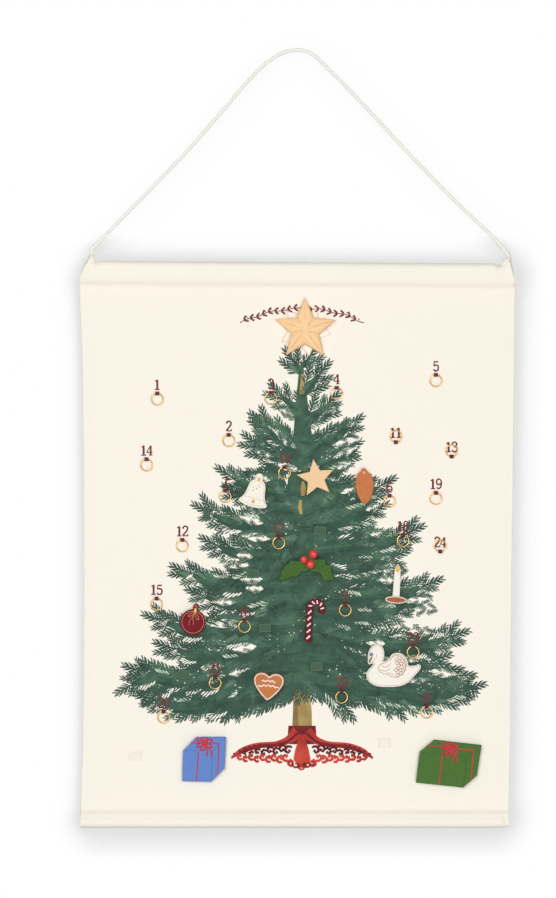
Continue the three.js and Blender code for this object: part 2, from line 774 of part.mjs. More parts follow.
// Ornaments. Each has its place from the nail, its tilt to the right in degrees, its hook pad, and
// its pieces, whose level is the height above the ornament's back that they are sewn on at.
const ornaments = [
  {
    name: "star_topper",
    place: [10.8, 94.5],
    tilt: 0.5,
    pad: [16, 12, 0, 0],
    pieces: [["star_topper", stuffed_star(), "peach_felt"]],
  },
  {
    name: "bell",
    place: [-58, 321],
    tilt: 15,
    pad: [16, 12, 0, 2],
    pieces: [["bell", extruded(bell_outline(), felt, felt_edge, 4), "white_felt"]],
  },
  {
    name: "flat_star",
    place: [26, 302.5],
    tilt: -8,
    pad: [13, 10, 0, 0],
    pieces: [["flat_star", extruded(star_outline(flat_star_tip, flat_star_notch), felt, felt_edge), "tan_felt"]],
  },
  {
    name: "pine_cone",
    place: [94, 313.5],
    tilt: -2,
    pad: [13, 16, 0, 0],
    pieces: [["pine_cone", extruded(cone_outline(), felt, felt_edge, 5), "brown_felt"]],
  },
  {
    name: "holly",
    place: [16.4, 421],
    tilt: 0,
    pad: [18, 10, 0, -1],
    pieces: [
      ["holly_leaves", extruded(holly_outline(), felt, felt_edge, 2), "green_felt"],
      ["holly_berry_1", berry_geometry(berry_radii[0]), "berry", felt, [5.6, 12.6]],
      ["holly_berry_2", berry_geometry(berry_radii[1]), "berry", felt, [-7.3, 5.2]],
      ["holly_berry_3", berry_geometry(berry_radii[2]), "berry", felt, [1.8, -1.8]],
    ],
  },
  {
    name: "candle",
    place: [139, 452],
    tilt: 3.5,
    pad: [8, 16, 0, -6],
    pieces: [
      ["candle", extruded(candle_outline(), felt, felt_edge, 4), "white_felt"],
      ["candle_flame", extruded(flame_outline(), applique, 0.3, 4), "flame", felt],
      ["candle_dish", extruded(dish_outline(), applique, 0.4, 8), "brown_felt", felt],
    ],
  },
  {
    name: "candy_cane",
    place: [20.6, 502.4],
    tilt: 3,
    pad: [6.5, 20, -4.1, -4],
    pieces: [["candy_cane", extruded(cane_outline(), cane_thickness, 1.8, 5, 2), "dark_red_felt"]],
  },
  {
    name: "bauble",
    place: [-146, 503.5],
    tilt: 12,
    pad: [16, 12, 0, 0],
    pieces: [["bauble", extruded(bauble_outline(), bauble_thickness, 1.2, 12, 1), "dark_red_felt"]],
  },
  {
    name: "gingerbread_heart",
    place: [-40.5, 593.5],
    tilt: 5,
    pad: [16, 12, 0, 1],
    pieces: [["gingerbread_heart", extruded(heart_outline(), heart_thickness, 2.6, 6, 2), "ginger_felt"]],
  },
  {
    name: "swan",
    place: [134, 568],
    tilt: 0,
    pad: [18, 12, -3, -10],
    pieces: [
      ["swan", extruded(swan_outline(), felt, felt_edge, 3), "white_felt"],
      ["swan_wing", extruded(wing_outline(), applique, 0.4, 4), "white_felt", felt],
    ],
  },
  {
    name: "blue_gift",
    place: [-130.6, 695],
    tilt: 0,
    pad: [18, 13, 0, 0],
    pieces: [["blue_gift", extruded(box_outline(blue_corners), felt, felt_edge), "blue_felt"]],
  },
  {
    name: "green_gift",
    place: [211.7, 701],
    tilt: 0,
    pad: [18, 13, 0, 0],
    pieces: [
      ["green_gift", extruded(box_outline(green_corners), felt, felt_edge), "gift_green_felt"],
    ],
  },
];

// Loop tape with nothing on it yet
const spare_tape = [
  [-45, 512], [27, 566], [32, 376], [-159, 577], [-62, 436], [-227, 692], [122, 673],
];
const tall_tape = [[-57.5, 222], [-127, 352.5]];

function tape_solid(x, z, width, height, tilt) {
  const strip = new THREE.BoxGeometry(width, tape_thickness + tape_root, height);
  const place = new THREE.Matrix4().makeRotationY(THREE.MathUtils.degToRad(tilt));
  place.setPosition(x, cloth_front + tape_root - (tape_thickness + tape_root) / 2, z);
  return to_solid(strip.applyMatrix4(place));
}

function ornament_frame({ place, tilt }) {
  const [x, z] = on_panel(place);
  return new THREE.Matrix4()
    .makeRotationY(THREE.MathUtils.degToRad(tilt))
    .setPosition(x, ornament_back, z);
}

function tape_behind(ornament) {
  const [width, height, dx, dz] = ornament.pad;
  const at = new THREE.Vector3(dx, 0, dz).applyMatrix4(ornament_frame(ornament));
  return tape_solid(at.x, at.z, width, height, ornament.tilt);
}

// The canvas panel, with all that is sewn into it
function canvas_panel() {
  const stations = panel_stations();
  const outside = stations.map((x) => ({ x, outline: panel_view(x) }));
  const top_bore = stations.map((x) => ({ x, outline: bore_view(top_sleeve(x)) }));
  const bottom_bore = stations.map((x) => ({ x, outline: bore_view(bottom_sleeve(x)) }));
  const channel = to_solid(tube(sleeve_route(2 * corner_lift), cord_radius + cord_room));
  const sewn_on = [
    ...ring_places.map((_, k) => tack_solid(ring_pivot(k + 1))),
    ...ornaments.map(tape_behind),
    ...spare_tape.map(on_panel).map(([x, z]) => tape_solid(x, z, tape_width, tape_height, 0)),
    ...tall_tape.map(on_panel).map(([x, z]) => tape_solid(x, z, tall_tape_width, tall_tape_height, 0)),
  ];
  let panel = to_solid(between_edges(loft(outside)))
    .subtract(to_solid(between_edges(loft(past_edges(top_bore)))))
    .subtract(to_solid(between_edges(loft(past_edges(bottom_bore)))))
    .subtract(corner_cut(left_corner))
    .subtract(corner_cut(right_corner))
    .subtract(channel);
  for (const piece of sewn_on) panel = panel.add(piece);
  return to_geometry(panel);
}

add("canvas_panel", canvas_panel(), finish("canvas", 0.9));

function dowel(length) {
  const profile = [
    [0, -length / 2],
    [dowel_radius - dowel_chamfer, -length / 2],
    [dowel_radius, -length / 2 + dowel_chamfer],
    [dowel_radius, length / 2 - dowel_chamfer],
    [dowel_radius - dowel_chamfer, length / 2],
    [0, length / 2],
  ].map(([r, along_axis]) => new THREE.Vector2(r, along_axis));
  return new THREE.LatheGeometry(profile, dowel_sides).rotateZ(-Math.PI / 2);
}

const top_dowel = add("top_dowel", dowel(top_dowel_length), finish("wood", 0.6));
top_dowel.position.z = top_dowel_z(0);
top_dowel.rotation.y = Math.atan(top_slant / panel_width);
const bottom_dowel = add("bottom_dowel", dowel(bottom_dowel_length), finish("wood", 0.6));
bottom_dowel.position.set(foot_middle, 0, bottom_dowel_z);

add("hanging_cord", hanging_cord(), finish("cord", 0.9));
add("sleeve_cord", tube(sleeve_route(0), cord_radius), finish("cord", 0.9));

ring_places.forEach((_, k) => {
  const day = k + 1;
  const name = `day_ring_${String(day).padStart(2, "0")}`;
  const ring = add(name, ring_geometry(), finish("brass", 0.3, 1));
  ring.position.copy(ring_pivot(day));
  if (turned_up.includes(day)) ring.rotation.x = THREE.MathUtils.degToRad(180 - ring_lean);
});

for (const ornament of ornaments) {
  const group = new THREE.Group();
  group.applyMatrix4(ornament_frame(ornament));
  calendar.add(group);
  for (const [name, geometry, colour, level = 0, at = [0, 0]] of ornament.pieces) {
    const piece = add(name, geometry, finish(colour, 0.95));
    piece.position.set(at[0], -level, at[1]);
    group.add(piece);
  }
  const [width, height, dx, dz] = ornament.pad;
  const strip = new THREE.BoxGeometry(width, pad_thickness, height);
  const pad = add(`${ornament.name}_pad`, strip, finish("hook_pad", 0.9));
  pad.position.set(dx, pad_thickness / 2, dz);
  group.add(pad);
}

export default calendar;
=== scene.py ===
import math
import random

import bmesh
import bpy
import numpy as np
from mathutils import Matrix, Vector
from mathutils.kdtree import KDTree


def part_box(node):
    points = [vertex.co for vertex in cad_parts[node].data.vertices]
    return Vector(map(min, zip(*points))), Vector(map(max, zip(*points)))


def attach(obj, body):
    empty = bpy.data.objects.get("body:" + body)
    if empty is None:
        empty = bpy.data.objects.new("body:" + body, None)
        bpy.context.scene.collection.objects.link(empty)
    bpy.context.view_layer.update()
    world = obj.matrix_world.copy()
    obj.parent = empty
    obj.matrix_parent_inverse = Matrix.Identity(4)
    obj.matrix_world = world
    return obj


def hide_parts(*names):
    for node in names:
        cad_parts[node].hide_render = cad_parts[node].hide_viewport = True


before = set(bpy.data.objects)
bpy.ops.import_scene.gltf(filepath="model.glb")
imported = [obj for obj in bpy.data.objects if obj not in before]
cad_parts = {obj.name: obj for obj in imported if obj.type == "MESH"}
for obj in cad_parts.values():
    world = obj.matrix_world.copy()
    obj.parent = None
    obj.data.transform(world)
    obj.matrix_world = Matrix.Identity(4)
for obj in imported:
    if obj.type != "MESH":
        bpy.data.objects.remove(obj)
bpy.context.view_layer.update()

MM = 0.001

# Camera

picture_wide = 556
picture_tall = 898
mm_per_pixel = 1.4
nail_pixel = (297.3, 50)
camera_away = 4.0


def make_camera():
    data = bpy.data.cameras.new("camera")
    data.sensor_fit = "AUTO"
    data.sensor_width = 36
    data.lens = data.sensor_width * camera_away / (picture_tall * mm_per_pixel * MM)
    camera = bpy.data.objects.new("camera", data)
    bpy.context.collection.objects.link(camera)
    across = (picture_wide / 2 - nail_pixel[0]) * mm_per_pixel * MM
    up = (nail_pixel[1] - picture_tall / 2) * mm_per_pixel * MM
    camera.location = (across, -camera_away, up)
    camera.rotation_euler = (math.radians(90), 0, 0)
    bpy.context.scene.camera = camera


make_camera()

# Work on the bench: picking, shaping and copying


def pick(*chosen):
    bpy.ops.object.select_all(action="DESELECT")
    for piece in chosen:
        piece.select_set(True)
    bpy.context.view_layer.objects.active = chosen[0]


def added(name, plain_form, **settings):
    """A new piece of one of the plain forms, under its name."""
    bpy.ops.object.select_all(action="DESELECT")
    plain_form(**settings)
    piece = bpy.context.active_object
    piece.name = name
    piece.data.name = name
    return piece


def shaped(piece, kind, **settings):
    """The piece with one modifier applied."""
    modifier = piece.modifiers.new(kind.lower(), kind)
    for name, value in settings.items():
        setattr(modifier, name, value)
    pick(piece)
    bpy.ops.object.modifier_apply(modifier=modifier.name)
    return piece


def settled(piece):
    """The piece with its place, turn and size in its mesh."""
    pick(piece)
    bpy.ops.object.transform_apply(location=True, rotation=True, scale=True)
    return piece


def smooth(piece, angle=40):
    pick(piece)
    bpy.ops.object.shade_smooth_by_angle(angle=math.radians(angle))
    return piece


def outward(piece, merged=True):
    """The piece with its faces turned outward, and with points that coincide made one."""
    pick(piece)
    bpy.ops.object.mode_set(mode="EDIT")
    bpy.ops.mesh.select_all(action="SELECT")
    if merged:
        bpy.ops.mesh.remove_doubles(threshold=1e-7)
    bpy.ops.mesh.normals_make_consistent(inside=False)
    bpy.ops.object.mode_set(mode="OBJECT")
    return piece


def piece_from(name, points, faces):
    mesh = bpy.data.meshes.new(name)
    mesh.from_pydata([tuple(p) for p in points], [], faces)
    mesh.update()
    piece = bpy.data.objects.new(name, mesh)
    bpy.context.collection.objects.link(piece)
    return piece


def tube_faces(rows, count, start=0, loop=False):
    """The faces of a tube of rows with count points each, capped or joined end to end."""
    faces = []
    for r in range(rows if loop else rows - 1):
        here = start + r * count
        there = start + (r + 1) % rows * count
        for k in range(count):
            after = (k + 1) % count
            faces.append((here + k, here + after, there + after, there + k))
    if not loop:
        faces.append(tuple(range(start, start + count)))
        faces.append(tuple(range(start + (rows - 1) * count, start + rows * count)))
    return faces


def laid_out(piece, name, places):
    """Gives each of the piece's points its place on the flat cloth, in metres."""
    layer = piece.data.uv_layers.new(name=name)
    for loop in piece.data.loops:
        layer.data[loop.index].uv = places[loop.vertex_index]


def points_of(piece):
    points = np.empty(3 * len(piece.data.vertices))
    piece.data.vertices.foreach_get("co", points)
    return points.reshape(-1, 3)


def set_points(piece, points):
    piece.data.vertices.foreach_set("co", np.asarray(points, np.float32).ravel())
    piece.data.update()


def copies(name, pattern, places):
    """One piece that holds a copy of the pattern at each place. The pattern stays."""
    source = pattern.data
    points = points_of(pattern)
    corners = np.empty(len(source.loops), np.int32)
    source.loops.foreach_get("vertex_index", corners)
    starts = np.empty(len(source.polygons), np.int32)
    source.polygons.foreach_get("loop_start", starts)
    turned = np.array([np.array(place) for place in places])
    count = len(turned)
    moved = np.einsum("kij,nj->kni", turned[:, :3, :3], points) + turned[:, None, :3, 3]
    step = np.arange(count)[:, None]
    mesh = bpy.data.meshes.new(name)
    mesh.vertices.add(count * len(points))
    mesh.vertices.foreach_set("co", moved.astype(np.float32).ravel())
    mesh.loops.add(count * len(corners))
    mesh.loops.foreach_set("vertex_index", (corners + len(points) * step).ravel())
    mesh.polygons.add(count * len(starts))
    mesh.polygons.foreach_set("loop_start", (starts + len(corners) * step).ravel())
    mesh.update(calc_edges=True)
    mesh.validate()
    mesh.shade_smooth()
    piece = bpy.data.objects.new(name, mesh)
    bpy.context.collection.objects.link(piece)
    return piece


def copy_of(pattern, name, place):
    """A copy with its own mesh, moved to its place."""
    piece = pattern.copy()
    piece.data = pattern.data.copy()
    piece.name = name
    piece.data.name = name
    bpy.context.collection.objects.link(piece)
    piece.data.transform(place)
    return piece


def shift(x, y, z):
    """A move in millimetres."""
    return Matrix.Translation((x * MM, y * MM, z * MM))


def thrown_away(*patterns):
    for pattern in patterns:
        bpy.data.objects.remove(pattern)


def done(piece, body, slot, material, *nodes):
    """The finished piece: its material, the body it moves with and the solids it stands for."""
    piece.data.materials.clear()
    piece.data.materials.append(material)
    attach(piece, body)
    if nodes:
        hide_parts(*nodes)
    return piece


# Drawn lines: outlines, curves and paths, as lists of (x, z) in millimetres


class Outline:
    """A closed line drawn from point to point."""

    steps = 10

    def __init__(self, x, z):
        self.points = [(x, z)]

    def line(self, x, z):
        self.points.append((x, z))
        return self

    def bow(self, cx, cz, x, z):
        x0, z0 = self.points[-1]
        for k in range(1, self.steps + 1):
            t = k / self.steps
            a, b, c = (1 - t) ** 2, 2 * t * (1 - t), t * t
            self.points.append((a * x0 + b * cx + c * x, a * z0 + b * cz + c * z))
        return self

    def sweep(self, cx, cz, dx, dz, x, z):
        x0, z0 = self.points[-1]
        for k in range(1, self.steps + 1):
            t = k / self.steps
            a, b = (1 - t) ** 3, 3 * t * (1 - t) ** 2
            c, d = 3 * t * t * (1 - t), t**3
            point = (a * x0 + b * cx + c * dx + d * x, a * z0 + b * cz + c * dz + d * z)
            self.points.append(point)
        return self

    def arc(self, x, z, radius, start, end, tall=None):
        count = max(4, int(abs(end - start) * max(radius, 2) / 0.9))
        high = radius if tall is None else tall
        for k in range(count + 1):
            a = start + (end - start) * k / count
            self.points.append((x + radius * math.cos(a), z + high * math.sin(a)))
        return self

    def closed(self):
        kept = [self.points[0]]
        for point in self.points[1:]:
            if math.dist(point, kept[-1]) > 0.02:
                kept.append(point)
        if math.dist(kept[0], kept[-1]) < 0.02:
            kept.pop()
        area = sum(a[0] * b[1] - b[0] * a[1] for a, b in zip(kept, kept[1:] + kept[:1]))
        return kept if area > 0 else kept[::-1]


def distances(line):
    """How far along the line each of its points is."""
    return np.concatenate([[0], np.cumsum(np.linalg.norm(np.diff(line, axis=0), axis=1))])


def spread_out(points, count):
    """The line again, as count points at even distances."""
    line = np.array(points, float)
    along = distances(line)
    at = np.linspace(0, along[-1], count)
    return np.stack([np.interp(at, along, line[:, k]) for k in range(line.shape[1])], axis=1)


def evenly(points, step, loop=False):
    """The line again, with its points about step apart."""
    line = np.array([*points, *points[:1]] if loop else points, float)
    made = spread_out(line, max(2, round(distances(line)[-1] / step) + 1))
    return made[:-1] if loop else made


def headings(line, loop=False):
    """The direction of the line at each of its points."""
    way = np.roll(line, -1, 0) - np.roll(line, 1, 0) if loop else np.gradient(line, axis=0)
    return way / (np.linalg.norm(way, axis=1)[:, None] + 1e-9)


def nearest(points):
    """A tree that finds the nearest of the points, and its distance."""
    tree = KDTree(len(points))
    for k, (x, z) in enumerate(points):
        tree.insert((x, 0, z), k)
    tree.balance()
    return tree


def flowing(points, loop=False):
    """A smooth line through the points."""
    steps = 8
    line = [np.array(p, float) for p in points]
    count = len(line)
    made = []
    for k in range(count if loop else count - 1):
        if loop:
            a, b, c, d = (line[(k + j - 1) % count] for j in range(4))
        else:
            b, c = line[k], line[k + 1]
            a = line[k - 1] if k else 2 * b - c
            d = line[k + 2] if k + 2 < count else 2 * c - b
        for j in range(steps):
            t = j / steps
            bent = 2 * b + (c - a) * t + (2 * a - 5 * b + 4 * c - d) * t * t
            made.append(tuple(0.5 * (bent + (3 * b - a - 3 * c + d) * t**3)))
    if not loop:
        made.append(tuple(line[-1]))
    return made


def inset(points, by):
    """The outline drawn again, further in."""
    line = np.array(points)
    way = headings(line, loop=True)
    moved = line + by * np.stack([-way[:, 1], way[:, 0]], axis=1)
    tree = nearest(line)
    return [tuple(p) for p in moved if tree.find((p[0], 0, p[1]))[2] > 0.93 * abs(by)]


def star_outline(tip, notch):
    """Ten corners, every second one a tip, from the notch beside the upper tip on."""
    corners = [(notch if k % 2 else tip, k * math.pi / 5) for k in range(9, -1, -1)]
    return [(r * math.sin(a), r * math.cos(a)) for r, a in corners]


# Materials


def linear(red, green, blue):
    """A colour as it is seen on a screen, 0 to 255, as the renderer counts light."""
    made = []
    for value in (red, green, blue):
        c = value / 255
        made.append(c / 12.92 if c <= 0.04045 else ((c + 0.055) / 1.055) ** 2.4)
    return (*made, 1)


class Wiring:
    """Adds nodes to a node tree and joins them up."""

    def __init__(self, tree):
        self.tree = tree

    def node(self, kind, values=None, **settings):
        node = self.tree.nodes.new(kind)
        for name, value in settings.items():
            setattr(node, name, value)
        for socket, value in (values or {}).items():
            self.set(node.inputs[socket], value)
        return node

    def set(self, socket, value):
        if isinstance(value, bpy.types.NodeSocket):
            self.tree.links.new(value, socket)
        else:
            socket.default_value = value

    def math(self, operation, *values):
        node = self.tree.nodes.new("ShaderNodeMath")
        node.operation = operation
        for socket, value in zip(node.inputs, values):
            self.set(socket, value)
        return node.outputs[0]

    def noise(self, vector, scale, detail=2.0, roughness=0.5):
        values = {"Vector": vector, "Scale": scale, "Detail": detail, "Roughness": roughness}
        return self.node("ShaderNodeTexNoise", values).outputs["Fac"]

    def sized(self, vector, size):
        """The place counted in steps of size, in metres."""
        node = self.node("ShaderNodeVectorMath", {0: vector, 1: size}, operation="DIVIDE")
        return node.outputs[0]


def surface_group(name):
    """A node group with a place and a size going in, and a height and a tone coming out."""
    tree = bpy.data.node_groups.new(name, "ShaderNodeTree")
    interface = tree.interface
    interface.new_socket("Place", in_out="INPUT", socket_type="NodeSocketVector")
    interface.new_socket("Size", in_out="INPUT", socket_type="NodeSocketVector")
    interface.new_socket("Height", in_out="OUTPUT", socket_type="NodeSocketFloat")
    interface.new_socket("Tone", in_out="OUTPUT", socket_type="NodeSocketFloat")
    wiring = Wiring(tree)
    start = wiring.node("NodeGroupInput")
    place = wiring.sized(start.outputs["Place"], start.outputs["Size"])
    return tree, wiring, place


def close_group(wiring, height, tone):
    wiring.node("NodeGroupOutput", {"Height": height, "Tone": tone})


def woven_group():
    """Plain weave: warp and weft take turns on top, a step apart, and their threads are uneven."""
    tree, w, place = surface_group("woven_cotton")
    slubs = w.noise(place, 0.21, 3)
    split = w.node("ShaderNodeSeparateXYZ", {0: place})
    wander = w.math("MULTIPLY", w.math("SUBTRACT", w.noise(place, 0.09), 0.5), 1.6)
    warp = w.math("SINE", w.math("MULTIPLY", w.math("ADD", split.outputs[0], wander), math.pi))
    weft = w.math("SINE", w.math("MULTIPLY", w.math("ADD", split.outputs[1], wander), math.pi))
    turn = w.math("MULTIPLY", w.math("MULTIPLY", warp, weft), 0.55)
    warp_up = w.math("ADD", w.math("POWER", w.math("ABSOLUTE", warp), 0.6), turn)
    weft_up = w.math("SUBTRACT", w.math("POWER", w.math("ABSOLUTE", weft), 0.6), turn)
    weave = w.math("MAXIMUM", warp_up, weft_up)
    height = w.math("ADD", weave, w.math("MULTIPLY", slubs, 0.6))
    tone = w.math("ADD", w.math("MULTIPLY", weave, 0.25), w.math("MULTIPLY", slubs, 0.65))
    close_group(w, height, tone)
    return tree


def felt_group():
    """Felt: matted fibres over soft lumps."""
    tree, w, place = surface_group("felt_fibres")
    fibres = w.noise(place, 1.0, 4, 0.65)
    lumps = w.noise(place, 0.13, 2)
    stretched = w.node("ShaderNodeMapping", {"Vector": place, "Scale": (1, 1, 0.22)})
    strands = w.noise(stretched.outputs[0], 1.3, 3, 0.6)
    height = w.math("ADD", w.math("ADD", fibres, lumps), strands)
    tone = w.math("ADD", w.math("MULTIPLY", fibres, 0.5), w.math("MULTIPLY", lumps, 0.5))
    close_group(w, height, tone)
    return tree


def thread_group():
    """Thread: a fine twist, and a sheen that comes and goes."""
    tree, w, place = surface_group("twisted_thread")
    split = w.node("ShaderNodeSeparateXYZ", {0: place})
    slant = w.math("ADD", split.outputs[0], split.outputs[2])
    twist = w.math("SINE", w.math("MULTIPLY", slant, 2 * math.pi))
    loose = w.noise(place, 0.8, 3)
    height = w.math("ADD", w.math("MULTIPLY", twist, 0.5), loose)
    tone = w.math("ADD", w.math("MULTIPLY", twist, 0.12), w.noise(place, 0.16, 2))
    close_group(w, height, tone)
    return tree


def metal_group():
    """Polished brass with fine scratches and a little tarnish."""
    tree, w, place = surface_group("handled_metal")
    tarnish = w.noise(place, 0.12, 3)
    stretched = w.node("ShaderNodeMapping", {"Vector": place, "Scale": (1, 0.15, 0.15)})
    scratches = w.noise(stretched.outputs[0], 3.0, 2)
    close_group(w, scratches, tarnish)
    return tree


def wood_group():
    """Turned birch with its grain along the dowel."""
    tree, w, place = surface_group("birch_grain")
    stretched = w.node("ShaderNodeMapping", {"Vector": place, "Scale": (0.05, 1, 1)})
    grain = w.noise(stretched.outputs[0], 1.2, 4, 0.6)
    rings = w.node(
        "ShaderNodeTexWave",
        {"Vector": stretched.outputs[0], "Scale": 0.35, "Distortion": 5.0, "Detail": 2.0},
        wave_type="BANDS", bands_direction="Z",
    )
    bands = w.math("MULTIPLY", rings.outputs["Fac"], 0.5)
    tone = w.math("ADD", w.math("MULTIPLY", grain, 0.5), bands)
    close_group(w, grain, tone)
    return tree


woven = woven_group()
felted = felt_group()
threaded = thread_group()
handled = metal_group()
grained = wood_group()


def material(name, colours, surface, size, relief, roughness, on_uv=False, **plain):
    """A material whose colour and roughness run between two values with the surface's tone, and
    whose relief, in millimetres, follows its height. size is the step of its pattern."""
    made = bpy.data.materials.new(name)
    made.use_nodes = True
    w = Wiring(made.node_tree)
    shader = made.node_tree.nodes["Principled BSDF"]
    place = w.node("ShaderNodeTexCoord").outputs["UV" if on_uv else "Object"]
    step = size if isinstance(size, tuple) else (size, size, size)
    where = {"Place": place, "Size": tuple(s * MM for s in step)}
    pattern = w.node("ShaderNodeGroup", where, node_tree=surface)
    tone = pattern.outputs["Tone"]
    ends = {"Factor": tone, 6: linear(*colours[0]), 7: linear(*colours[1])}
    mix = w.node("ShaderNodeMix", ends, data_type="RGBA")
    w.set(shader.inputs["Base Color"], mix.outputs[2])
    ends = {"Value": tone, "To Min": roughness[0], "To Max": roughness[1]}
    w.set(shader.inputs["Roughness"], w.node("ShaderNodeMapRange", ends).outputs[0])
    bump = {"Strength": 1.0, "Distance": relief * MM, "Height": pattern.outputs["Height"]}
    w.set(shader.inputs["Normal"], w.node("ShaderNodeBump", bump).outputs["Normal"])
    for socket, value in plain.items():
        shader.inputs[socket.replace("_", " ").title()].default_value = value
    return made


cloth_pitch = 1.1
canvas_material = material(
    "canvas", ((247, 240, 226), (252, 246, 234)), woven, cloth_pitch, 0.05, (0.85, 0.95), on_uv=True
)
hem_material = material(
    "hem", ((247, 240, 226), (252, 246, 234)), woven, (cloth_pitch, 1, 1), 0.05, (0.85, 0.95)
)


def felt_material(name, dark, light, **plain):
    return material(name, (dark, light), felted, 0.9, 0.12, (0.88, 0.98), **plain)


def thread_material(name, dark, light, **plain):
    return material(name, (dark, light), threaded, 0.5, 0.05, (0.5, 0.7), **plain)


def ink_material(name, dark, light):
    """Ink soaked into the weave, so its surface is the cloth's."""
    made = material(name, (dark, light), woven, (cloth_pitch,) * 3, 0.04, (0.85, 0.95))
    w = Wiring(made.node_tree)
    group = next(n for n in made.node_tree.nodes if n.type == "GROUP")
    mix = next(n for n in made.node_tree.nodes if n.type == "MIX")
    place = w.node("ShaderNodeTexCoord").outputs["Object"]
    upright = {"Vector": place, "Rotation": (-math.pi / 2, 0, 0)}
    w.set(group.inputs["Place"], w.node("ShaderNodeMapping", upright).outputs[0])
    wash = {"Value": w.noise(place, 38.0, 3, 0.6), "From Min": 0.35, "From Max": 0.65}
    w.set(mix.inputs["Factor"], w.node("ShaderNodeMapRange", wash).outputs[0])
    return made


cord_material = material(
    "cotton_cord", ((240, 237, 229), (250, 248, 241)), threaded, 1.6, 0.02, (0.8, 0.92), on_uv=True
)
wood_material = material(
    "birch", ((202, 168, 116), (232, 206, 162)), grained, 1.5, 0.05, (0.5, 0.7)
)
brass_material = material(
    "brass", ((172, 134, 76), (212, 180, 122)), handled, 1.2, 0.01, (0.2, 0.34), metallic=1.0
)
loop_green = felt_material("loop_tape_green", (52, 80, 60), (76, 106, 84))
loop_cream = felt_material("loop_tape_cream", (240, 230, 212), (254, 248, 236))
hook_white = felt_material("hook_pad", (214, 208, 196), (236, 231, 220))
white_felt = felt_material("white_felt", (238, 231, 217), (254, 250, 240))
tan_felt = felt_material("tan_felt", (230, 190, 140), (250, 218, 174))
peach_felt = felt_material("peach_velvet", (244, 198, 142), (255, 224, 178))
cone_felt = felt_material("cone_felt", (176, 96, 50), (216, 138, 84))
leaf_felt = felt_material("holly_felt", (46, 82, 30), (76, 114, 44))
dark_red_felt = felt_material("dark_red_felt", (90, 4, 22), (130, 16, 34))
ginger_felt = felt_material("ginger_felt", (180, 100, 52), (214, 140, 84))
blue_felt = felt_material("blue_felt", (82, 120, 188), (110, 148, 212))
gift_green_felt = felt_material("gift_green_felt", (54, 92, 34), (82, 122, 54))
dish_felt = felt_material("dish_felt", (144, 84, 50), (180, 118, 78))
flame_felt = felt_material("flame_felt", (236, 180, 50), (255, 216, 96))
berry_felt = felt_material(
    "berry", (206, 22, 28), (242, 52, 54), coat_weight=1.0, coat_roughness=0.08
)
red_thread = thread_material("dark_red_thread", (82, 8, 20), (122, 22, 34))
gold_thread = thread_material("gold_thread", (222, 164, 66), (250, 208, 116))
pale_gold_thread = thread_material("pale_gold_thread", (206, 178, 118), (236, 214, 162))
rose_thread = thread_material("rose_gold_thread", (168, 104, 76), (206, 146, 114))
copper_thread = thread_material("copper_thread", (200, 116, 82), (234, 158, 122))
feather_thread = thread_material("feather_thread", (150, 88, 48), (196, 134, 84))
terracotta_thread = thread_material("terracotta_thread", (150, 72, 44), (190, 108, 72))
white_thread = thread_material("white_thread", (238, 226, 222), (255, 250, 248))
icing_thread = thread_material("icing_thread", (244, 216, 196), (255, 240, 226))
cream_thread = thread_material("cream_thread", (232, 222, 204), (250, 244, 232))
ribbon_thread = thread_material("ribbon_thread", (176, 22, 44), (222, 52, 66))
blue_thread = thread_material("blue_thread", (74, 100, 160), (116, 142, 196))
beak_thread = thread_material("beak_thread", (118, 96, 88), (160, 136, 126))
deep_blue_thread = thread_material("deep_blue_thread", (52, 84, 146), (78, 112, 174))
pale_green_thread = thread_material("pale_green_thread", (96, 126, 106), (128, 156, 136))
deep_green_thread = thread_material("deep_green_thread", (36, 64, 24), (54, 84, 38))

# The canvas panel. The dowels' boxes give the places that its sleeves lie round.

cloth = 1.2
hem_width = 10
top_dowel_low, top_dowel_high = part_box("top_dowel")
bottom_dowel_low, bottom_dowel_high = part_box("bottom_dowel")
half_width = 305
top_edge = -297  # middle of the top edge, below the nail
panel_height = 792
top_slant = 4
dowel_radius = 7.5
sleeve_radius = 9
roll_radius = 4.8
roll_drop = 10.2
seam_drop = 24
foot_roll_radius = 3.0
foot_roll_drop = 9
foot_seam_drop = 13.5
top_dowel_end = (top_dowel_high.x - top_dowel_low.x) / 2 / MM - 0.03
bottom_dowel_end = (bottom_dowel_high.x - bottom_dowel_low.x) / 2 / MM
bottom_dowel_z = top_edge - panel_height + sleeve_radius
foot_middle = (bottom_dowel_high.x + bottom_dowel_low.x) / 2 / MM
cord_diameter = 4.8
corner_lift = 8
corner_slope = 38
notch_width = 3
left_corner = {"side": -1, "reach": 10.5, "notch": 0.5}
right_corner = {"side": 1, "reach": 18, "notch": 3}

# How far the left and right side edges draw in: (share of the way up the flat, left, right)
edge_draw_in = [
    (0, 1.5, 9), (0.13, 5, 7), (0.38, 6.5, 5.5), (0.63, 6.5, 3), (0.87, 4, 1), (1, 0, 0),
]
flat_top = top_edge - sleeve_radius - seam_drop - top_slant / 2 - 2
flat_foot = bottom_dowel_z + foot_seam_drop + 2


def corner_at(x):
    return left_corner if x < 0 else right_corner


def exit_x(corner):
    return corner["side"] * (top_dowel_end + corner["reach"])


def exit_z(x):
    return top_edge - top_slant * x / (2 * half_width) + corner_lift


def eased(pairs, at):
    """A value read from a row of (place, value) pairs, with a soft change between them."""
    if at <= pairs[0][0]:
        return pairs[0][1]
    for (a, low), (b, high) in zip(pairs, pairs[1:]):
        if at <= b:
            t = (at - a) / (b - a)
            return low + (high - low) * t * t * (3 - 2 * t)
    return pairs[-1][1]


